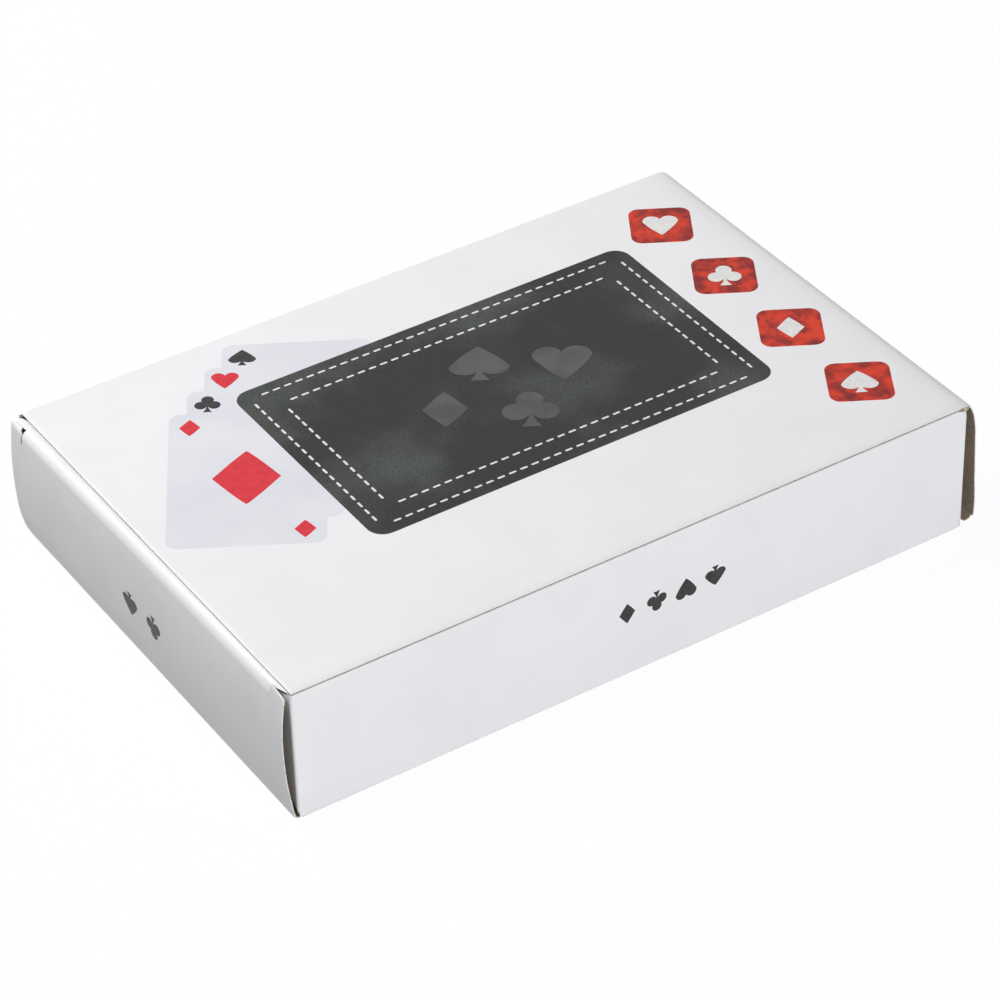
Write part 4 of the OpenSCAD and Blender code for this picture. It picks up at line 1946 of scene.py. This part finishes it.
@dataclass
class CardCase:
    """Leatherette case with its linings, stitching and hinge strip."""

    leather: Material
    felt: Material
    thread: Material
    edge: float = 0.7
    soft_edge: float = 0.45
    groove: float = 0.14
    groove_width: float = 0.45
    wall: float = 0.8
    foot: float = 0.15
    lid_inset: float = 2.6
    tray_drop: float = 1.8
    stitch: Triple = (2.2, 0.5, 0.25)
    stitch_sunk: float = 0.6
    pitch: float = 3.4
    corner: float = 2.0
    base_corner: float = 2.6
    nap: float = 0.03
    curl: float = 0.6
    strip: float = 0.78

    def box(self, node: str) -> tuple[Array, Array]:
        """A node's lowest and highest corners in millimetres."""
        low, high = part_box(node)
        return np.array(low) / MM, np.array(high) / MM

    def rounded(self, top: float) -> Array:
        """Quarter circle of the profile, from an upright side to a flat top."""
        a = np.linspace(0, np.pi / 2, 7)
        return np.stack([self.edge * (1 - np.cos(a)), top - self.edge * (1 - np.sin(a))], -1)

    def dip(self, profile: Array, at: float, column: int) -> Array:
        """Sink a shallow groove, a bell, into the profile where the stitches run.

        Args:
            profile: Insets and heights.
            at: Inset or height of the groove's middle.
            column: 0 if that is an inset, 1 if it is a height.

        Returns:
            The new profile.
        """
        pull = self.groove * np.exp(-(((profile[:, column] - at) / self.groove_width) ** 2))
        sunk = profile.copy()
        sunk[:, 1 - column] += pull if column == 1 else -pull
        return sunk

    def cover(self, name: str, node: str, corner: float, profile: Array, hoop: bool) -> None:
        """Carry a profile round a node's box, in leatherette.

        Args:
            name: The piece's name.
            node: The CAD node that it stands for.
            corner: Radius of the upright corners.
            profile: Insets and heights.
            hoop: Whether the profile's ends join.
        """
        low, high = self.box(node)
        half = tuple((high - low)[:2] / 2)
        piece = Wrap(name, (low + high)[0] / 2, half, corner, profile, hoop).build(self.leather)
        ride(piece, "case", "leatherette", node)

    def lid(self) -> None:
        """Leatherette over the lid board: underside of the cover, turned edge, sides and top."""
        low, high = self.box("lid_leather")
        bottom, top = low[2], high[2]
        middle = (high - low)[1] / 2
        under = top - self.wall
        inner = np.array([[middle, under], [30, under], [self.wall, under]])
        foot = np.array([[self.wall, bottom], [self.foot, bottom], [0.0, bottom + self.foot]])
        spread = np.concatenate([np.linspace(self.edge, 4.2, 24)[1:], [6, 10, 18, 30, 42, middle]])
        face = np.stack([spread, np.full_like(spread, top)], -1)
        face = self.dip(face, self.lid_inset, 0)
        profile = np.concatenate([inner, foot, self.rounded(top), face])
        self.cover("lid_cover", "lid_leather", self.corner, profile, False)

    def tray(self) -> None:
        """Leatherette round the tray's walls and over their top edge, a closed hoop."""
        low, high = self.box("tray_leather")
        lip_low, lip_high = self.box("tray_front_lip")
        bottom, top = low[2], high[2]
        rim = ((high - low)[0] - (lip_high - lip_low)[0]) / 2
        rise = [np.linspace(bottom, top - 4, 8), np.linspace(top - 3.6, top - self.edge, 18)]
        rise = np.concatenate(rise)
        side = np.stack([np.zeros_like(rise), rise], -1)
        side = self.dip(side, top - self.tray_drop, 1)
        under = top - self.wall
        inner = np.array([[rim, top], [rim, under], [self.wall, under], [self.wall, bottom]])
        profile = np.concatenate([side, self.rounded(top)[1:], inner])
        self.cover("tray_cover", "tray_leather", self.corner, profile, True)

    def base(self) -> None:
        """Wrapped base board with soft edges."""
        low, high = self.box("case_base_board")
        bottom, top = low[2], high[2]
        middle = (high - low)[1] / 2
        a = np.linspace(0, np.pi / 2, 6)
        rise, run = self.soft_edge * (1 - np.sin(a)), self.soft_edge * (1 - np.cos(a))
        under = np.stack([rise, bottom + run], -1)
        over = np.stack([run, top - rise], -1)
        floor = [[middle, bottom], [20, bottom]]
        face = [[20, top], [middle, top]]
        profile = np.concatenate([floor, under, over, face])
        self.cover("base_wrap", "case_base_board", self.base_corner, profile, False)

    def lining(self, node: str, name: str) -> None:
        """Felt pad with a gently uneven nap, the product of two slow waves.

        Args:
            node: The CAD node that it stands for.
            name: The piece's name.
        """
        low, high = self.box(node)
        x = np.linspace(low[0], high[0], 90)[None, :]
        y = np.linspace(low[1], high[1], 60)[:, None]
        nap = self.nap * np.sin(x / 3.1 + y / 4.7) * np.sin(y / 2.3)
        middle = np.stack(np.broadcast_arrays(x, y, (low[2] + high[2]) / 2 + nap), -1)
        below = np.array([*(low + high)[:2] / 2, -1000.0])
        pad = Board(name, middle, (high - low)[2] - 0.08, below, [self.felt], 0.04, 31).build()
        ride(pad, "case", "felt", node)

    def spine(self) -> None:
        """Leatherette strip up the tray's back, curled into the lid's hinge roll."""
        low, high = self.box("hinge_spine")
        back = high[1] - 0.4
        centre = np.array([back - self.curl, high[2] - 1.0])
        rise = np.linspace(low[2], centre[1], 12)
        strip = np.stack([np.full_like(rise, back), rise], -1)
        a = np.radians(np.linspace(0, 235, 22))[1:]
        curl = centre + self.curl * np.stack([np.cos(a), np.sin(a)], -1)
        y, z = np.concatenate([strip, curl]).T[..., None]
        middle = np.stack(np.broadcast_arrays(np.linspace(low[0], high[0], 80), y, z), -1)
        inside = np.array([(low + high)[0] / 2, *centre])
        piece = Board("hinge_strip", middle, self.strip, inside, [self.leather], 0.0, 37).build()
        ride(piece, "case", "leatherette", "hinge_spine")

    def stitches(self, name: str, node: str, spots: Array, along: Array, up: Array) -> None:
        """Stitches as slim closed ovals, half sunk in the leatherette.

        Each is six points round, carried along the stitch with a radius that closes at the
        ends, then moved to its spot.

        Args:
            name: The piece's name.
            node: The CAD node that it stands for.
            spots: Middle of each stitch.
            along: Direction of each stitch.
            up: Direction in which each stitch stands out.
        """
        length, width, height = self.stitch
        t = np.array([-1, -0.92, -0.6, 0, 0.6, 0.92, 1])
        swell = np.sqrt(1 - 0.94 * np.abs(t) ** 5)[:, None]
        angle = np.arange(6) * np.pi / 3
        reach = (length / 2 * t)[:, None, None]
        wide = (width / 2 * swell * np.cos(angle))[..., None]
        high = (height * swell * np.sin(angle))[..., None]
        along, across, up = (d[:, None, None, :] for d in (along, np.cross(up, along), up))
        points = spots[:, None, None, :] + (along * reach + across * wide + up * high)
        count = len(t) * len(angle)
        body = index_quads(grid_index(len(t), len(angle), around=True))[:, [0, 3, 2, 1]]
        caps = np.array([[3, 2, 1, 0], [5, 4, 3, 0], [36, 37, 38, 39], [36, 39, 40, 41]])
        quads = np.concatenate([body, caps])
        quads = (quads[None] + count * np.arange(len(spots))[:, None, None]).reshape(-1, 4)
        piece = closed_skin(name, points, quads, self.thread, merge=False)
        ride(piece, "case", "thread", node)

    def row(self, length: float) -> Array:
        """Places of the stitches along a row of that length."""
        count = int((length - self.stitch[0]) // self.pitch) + 1
        return (np.arange(count) - (count - 1) / 2) * self.pitch

    def seam(
        self, name: str, node: str, rows: tuple[Array, Array], inset: float, level: float, flat: bool
    ) -> None:
        """Stitches along the front and both short sides.

        Args:
            name: The piece's name.
            node: The CAD node that it stands for.
            rows: Places of the stitches along the front and along a short side.
            inset: Distance of the rows from the case's sides.
            level: Height of the rows.
            flat: Whether they lie on a flat top, else on the upright sides.
        """
        low, high = self.box("lid_leather")
        middle = (low + high)[0] / 2
        half = (high - low)[:2] / 2
        front, sides = rows
        lines = [((middle + front, inset - half[1], level), (1.0, 0.0, 0.0), (0.0, -1.0, 0.0))]
        for side in (-1, 1):
            spots = (middle + side * (half[0] - inset), sides, level)
            lines.append((spots, (0.0, 1.0, 0.0), (float(side), 0.0, 0.0)))
        spots = [np.stack(np.broadcast_arrays(*spots), -1) for spots, _, _ in lines]
        counts = [len(line) for line in spots]
        along = np.repeat([way for _, way, _ in lines], counts, axis=0)
        up = np.repeat([(0.0, 0.0, 1.0) if flat else out for _, _, out in lines], counts, axis=0)
        self.stitches(name, node, np.concatenate(spots), along, up)

    def seams(self) -> None:
        """Stitches on the lid's top and on the tray's upright sides."""
        low, high = self.box("lid_leather")
        length, width = (high - low)[:2]
        sunk = self.groove * self.stitch_sunk
        cut = 2 * self.lid_inset + 2 * self.stitch[1]
        rows = self.row(length - cut), self.row(width - cut - 2 * self.stitch[0])
        self.seam("lid_seam", "lid_stitching", rows, self.lid_inset, high[2] - sunk, True)
        level = self.box("tray_leather")[1][2] - self.tray_drop
        rows = self.row(length - 2 * self.corner), self.row(width - 2 * self.corner)
        self.seam("tray_seam", "tray_stitching", rows, sunk, level, False)

    def build(self) -> None:
        """Make the case's covers, linings and seams."""
        self.base()
        self.tray()
        self.lid()
        self.lining("tray_lining", "tray_felt")
        self.lining("lid_lining", "lid_felt")
        self.spine()
        self.seams()


@dataclass
class Contents:
    """CAD solids that keep their shape: boards, cards, dice and pips."""

    nodes: dict[str, Piece]

    def paint(self, names: Sequence[str], material: Material) -> None:
        """Give some nodes one material, and report them.

        Args:
            names: The nodes' names.
            material: The material.
        """
        for name in names:
            self.nodes[name].data.materials.clear()
            self.nodes[name].data.materials.append(material)
            LOG.info("%s: CAD shape in %s", name, material.name)

    def build(self) -> None:
        """Dress every solid that stays."""
        grey = PlainBoard("grey_board", (0.30, 0.265, 0.215), (0.20, 0.175, 0.14)).material()
        black = PlainBoard("dyed_board", (0.030, 0.030, 0.033), (0.012, 0.012, 0.014)).material()
        sides = ("front", "rear", "left", "right")
        self.paint([f"tray_{s}_wall" for s in sides] + ["lid_board"], grey)
        self.paint([f"tray_{s}_lip" for s in sides] + ["left_divider", "right_divider"], black)
        backs = {1: (0.045, 0.075, 0.20), 2: (0.36, 0.020, 0.028)}
        for deck, back in backs.items():
            low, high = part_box(f"deck_{deck}_spades")
            centre = ((low + high).x / 2 / MM, (low + high).y / 2 / MM)
            half = ((high - low).x / 2 / MM, (high - low).y / 2 / MM)
            stock = CardStock(f"card_stock_{deck}", centre, half, back).material()
            suits = ("spades", "hearts", "clubs", "diamonds", "jokers")
            self.paint([f"deck_{deck}_{suit}" for suit in suits], stock)
        resin = DieResin().material()
        pips = Ink("pip_paint", (0.82, 0.82, 0.80), (0.72, 0.72, 0.70), 1.5, 0.25, 0.32).material()
        self.paint([f"die_{k}" for k in range(1, 6)], resin)
        self.paint([f"die_{k}_pips" for k in range(1, 6)], pips)


@dataclass
class TornCorner:
    """Torn pulp where the front panel's upper right corner has lost its coating."""

    sizes: CartonSizes
    pulp: Material
    reach: Triple = (1.55, 0.29, 0.7)
    inset: Triple = (0.9, 0.35, 0.84)
    pole: float = 0.02

    def build(self) -> None:
        """Lumpy oval: a sphere's grid whose radius swells with two waves."""
        s = self.sizes
        lat = np.linspace(self.pole, np.pi - self.pole, 22)[:, None]
        lon = np.linspace(0, 2 * np.pi, 37)[None, :]
        lumps = 0.16 * np.sin(5 * lon + 2 * lat) + 0.13 * np.sin(11 * lat)
        swell = 1 + lumps * np.sin(lat)
        ball = [np.cos(lat), np.sin(lat) * np.cos(lon), np.sin(lat) * np.sin(lon)]
        ball = np.stack(np.broadcast_arrays(*ball), -1)
        corner = np.array([s.side(End.RIGHT, False), -s.half_width, s.height])
        place = corner + np.array(self.inset) * np.array([-1, 1, -1])
        points = place + ball * swell[..., None] * np.array(self.reach)
        quads = index_quads(grid_index(*swell.shape))
        piece = closed_skin("torn_corner", points, quads, self.pulp, hole_sides=60)
        ride(piece, "carton", "carton_board")


def facing(
    right: Sequence[float], up: Sequence[float], back: Sequence[float], place: Sequence[float]
) -> Matrix:
    """Place and turn of a camera or lamp, from its own three directions."""
    return Matrix([(*right, 0), (*up, 0), (*back, 0), (*place, 1)]).transposed()


@dataclass(frozen=True)
class Lamp:
    """A soft square lamp: its place and side in metres, its power in watts."""

    name: str
    place: Triple
    side: float
    power: float
    colour: Colour


@dataclass
class Studio:
    """Floor, world, lights and camera, in metres."""

    sky: float = 0.2
    floor_half: float = 4.0
    floor_white: float = 0.26
    glow_share: float = 0.86
    glow_strength: float = 1.12
    sensor: float = 36.0
    lens: float = 140.38
    clip_start: float = 0.01
    right: Triple = (0.83870071, -0.544035, -0.02463824)
    up: Triple = (0.34577511, 0.49701375, 0.79587493)
    back: Triple = (-0.42073828, -0.67602016, 0.60495954)
    place: Triple = (-0.36466, -0.58786, 0.53401)
    target: Triple = (0.0, 0.0, 0.02)
    lamps: tuple[Lamp, ...] = (
        Lamp("rear_left", (-0.352, 0.429, 0.79), 0.5, 8.0, (1.0, 1.0, 1.0)),
        Lamp("front_fill", (-0.08, -1.17, 0.21), 0.38, 9.7, (0.98, 0.98, 1.0)),
    )

    def camera(self) -> None:
        """Camera at the photograph's place, turned by its right, up and back directions."""
        data = bpy.data.cameras.new("camera")
        data.sensor_width = self.sensor
        data.lens = self.lens
        data.clip_start = self.clip_start
        camera = bpy.data.objects.new("camera", data)
        camera.matrix_world = facing(self.right, self.up, self.back, self.place)
        bpy.context.scene.collection.objects.link(camera)
        bpy.context.scene.camera = camera

    def world(self) -> None:
        """White for what is seen, and a plain even sky for what is lit."""
        world = bpy.data.worlds.new("studio")
        world.use_nodes = True
        bpy.context.scene.world = world
        nodes = Nodes(world.node_tree)
        sky = nodes.tree.nodes["Background"]
        nodes.plug(sky.inputs["Color"], WHITE)
        nodes.plug(sky.inputs["Strength"], self.sky)
        white = nodes.value("ShaderNodeBackground", sockets={"Color": WHITE, "Strength": 1.0})
        nodes.show("World Output", nodes.seen(), Wire(nodes, sky.outputs[0]), white)

    def floor(self) -> None:
        """Pale floor that is seen as nearly white and keeps the shadow."""
        signs = np.array([[-1, -1, 0], [1, -1, 0], [1, 1, 0], [-1, 1, 0]])
        paint = Paint("studio_floor")
        tone = (self.floor_white, self.floor_white, self.floor_white, 1.0)
        paint.dress(Base_Color=tone, Roughness=0.9, Specular_IOR_Level=0.0)
        glow = paint.value("ShaderNodeEmission", sockets={"Strength": self.glow_strength})
        matt = Wire(paint, paint.shader.outputs[0])
        paint.show("Material Output", paint.seen() * self.glow_share, matt, glow)
        points = signs * self.floor_half / MM
        flat = np.zeros(1)
        fill_mesh("floor", points, np.array([[0, 1, 2, 3]]), flat, flat, [paint.material])

    def light(self) -> None:
        """Lamps turned to the target: each one's back points away from it, its side is level."""
        for lamp in self.lamps:
            data = bpy.data.lights.new(lamp.name, "AREA")
            data.size = lamp.side
            data.energy = lamp.power
            data.color = lamp.colour
            back = np.array(lamp.place) - np.array(self.target)
            back /= np.linalg.norm(back)
            side = np.cross([0.0, 0.0, 1.0], back)
            side /= np.linalg.norm(side)
            made = bpy.data.objects.new(lamp.name, data)
            made.matrix_world = facing(side, np.cross(back, side), back, lamp.place)
            bpy.context.scene.collection.objects.link(made)

    def build(self) -> None:
        """Set the stage and the view."""
        bpy.context.scene.view_settings.view_transform = "Standard"
        self.camera()
        self.world()
        self.floor()
        self.light()


LEFT_NEAR: Knots = (
    (0.0, 0.0),
    (0.03, 0.32),
    (0.14, 0.89),
    (0.36, 1.72),
    (0.50, 1.93),
    (0.675, 1.96),
    (0.85, 1.55),
    (1.0, 0.80),
)
LEFT_FAR: Knots = (
    (0.0, 0.0),
    (0.03, 0.52),
    (0.095, 1.42),
    (0.22, 2.42),
    (0.43, 3.02),
    (0.63, 3.08),
    (0.82, 2.74),
    (1.0, 2.08),
)
RIGHT_NEAR: Knots = (
    (0.0, 0.0),
    (0.02, 0.50),
    (0.062, 1.20),
    (0.178, 2.15),
    (0.306, 2.48),
    (0.52, 2.78),
    (0.70, 3.04),
    (0.885, 3.33),
    (1.0, 3.18),
)
RIGHT_FAR: Knots = (
    (0.0, 0.0),
    (0.02, 0.22),
    (0.06, 0.60),
    (0.18, 1.45),
    (0.30, 2.17),
    (0.52, 3.00),
    (0.70, 3.30),
    (0.885, 3.26),
    (1.0, 3.03),
)


def dress_carton(joints: dict[str, dict[str, Any]]) -> None:
    """Fold the carton, print on it and tear its corner.

    Args:
        joints: The frame's joints by name.
    """
    sizes = CartonSizes.from_frame(joints)
    edge = RawEdge().material()
    boards = [CoatedBoard().material(), BareBoard().material(), edge]
    # darker pulp for the sleeve's cut edges: the raw edge's colour plus painted shadow of the gap
    # under the top panel's edges
    seam = RawEdge("seam_edge_and_shadow", (0.400, 0.345, 0.290), (0.200, 0.165, 0.135)).material()
    Sleeve(sizes, [*boards[:2], seam]).build()
    left = EndFlaps(sizes, boards, End.LEFT, LEFT_NEAR, LEFT_FAR, lift=0.5)
    left.build()
    right = EndFlaps(
        sizes,
        boards,
        End.RIGHT,
        RIGHT_NEAR,
        RIGHT_FAR,
        lift=0.8,
        shoulder=2.2,
        ear=-1.2,
        fold=1.1,
        hooks=(0.5, 0.5),
        hook_spreads=(0.16, 0.16),
        slit_widths=(0.0, 0.0),
        tilts=(0.0, 0.0),
        near_wing=(0.22, 0.3),
        far_wing=(0.22, 0.3),
        front_dust_rises=(2.3, 0.0),
        rear_dust_rises=(2.3, 0.0),
        # painted shade beside the right closure's fold at the top
        crease_shade=0.75,
    )
    right.build()
    inks = {
        "grain": GrainInk(),
        "white": Ink("white_ink", (0.80, 0.80, 0.79), (0.70, 0.70, 0.69), 1.2),
        "black": Ink("black_ink", (0.012, 0.013, 0.013), (0.030, 0.031, 0.031), 2.0),
        "red": Ink("red_ink", (0.60, 0.020, 0.035), (0.68, 0.035, 0.050), 2.0),
        "marble": Ink("marbled_red_ink", (0.20, 0.004, 0.004), (0.66, 0.040, 0.012), 3.2, 0.16),
        "pale": Ink("pale_ink", (0.70, 0.70, 0.755), (0.76, 0.76, 0.81), 22.0),
        "sheen": Ink("sheen_ink", (0.050, 0.055, 0.052), (0.085, 0.092, 0.088), 9.0),
    }
    Print(sizes, left, {key: ink.material() for key, ink in inks.items()}).build()
    torn = RawEdge("torn_pulp", (0.74, 0.64, 0.49), (0.16, 0.125, 0.085), 0.6).material()
    TornCorner(sizes, torn).build()


def main() -> None:
    """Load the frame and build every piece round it."""
    logging.basicConfig(level=logging.INFO, format="%(message)s")
    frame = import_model()
    joints = {joint["name"]: joint for joint in frame["joints"]}
    Studio().build()
    dress_carton(joints)
    CardCase(Leatherette().material(), Felt().material(), Thread().material()).build()
    Contents(frame["nodes"]).build()


if __name__ == "__main__":
    main()
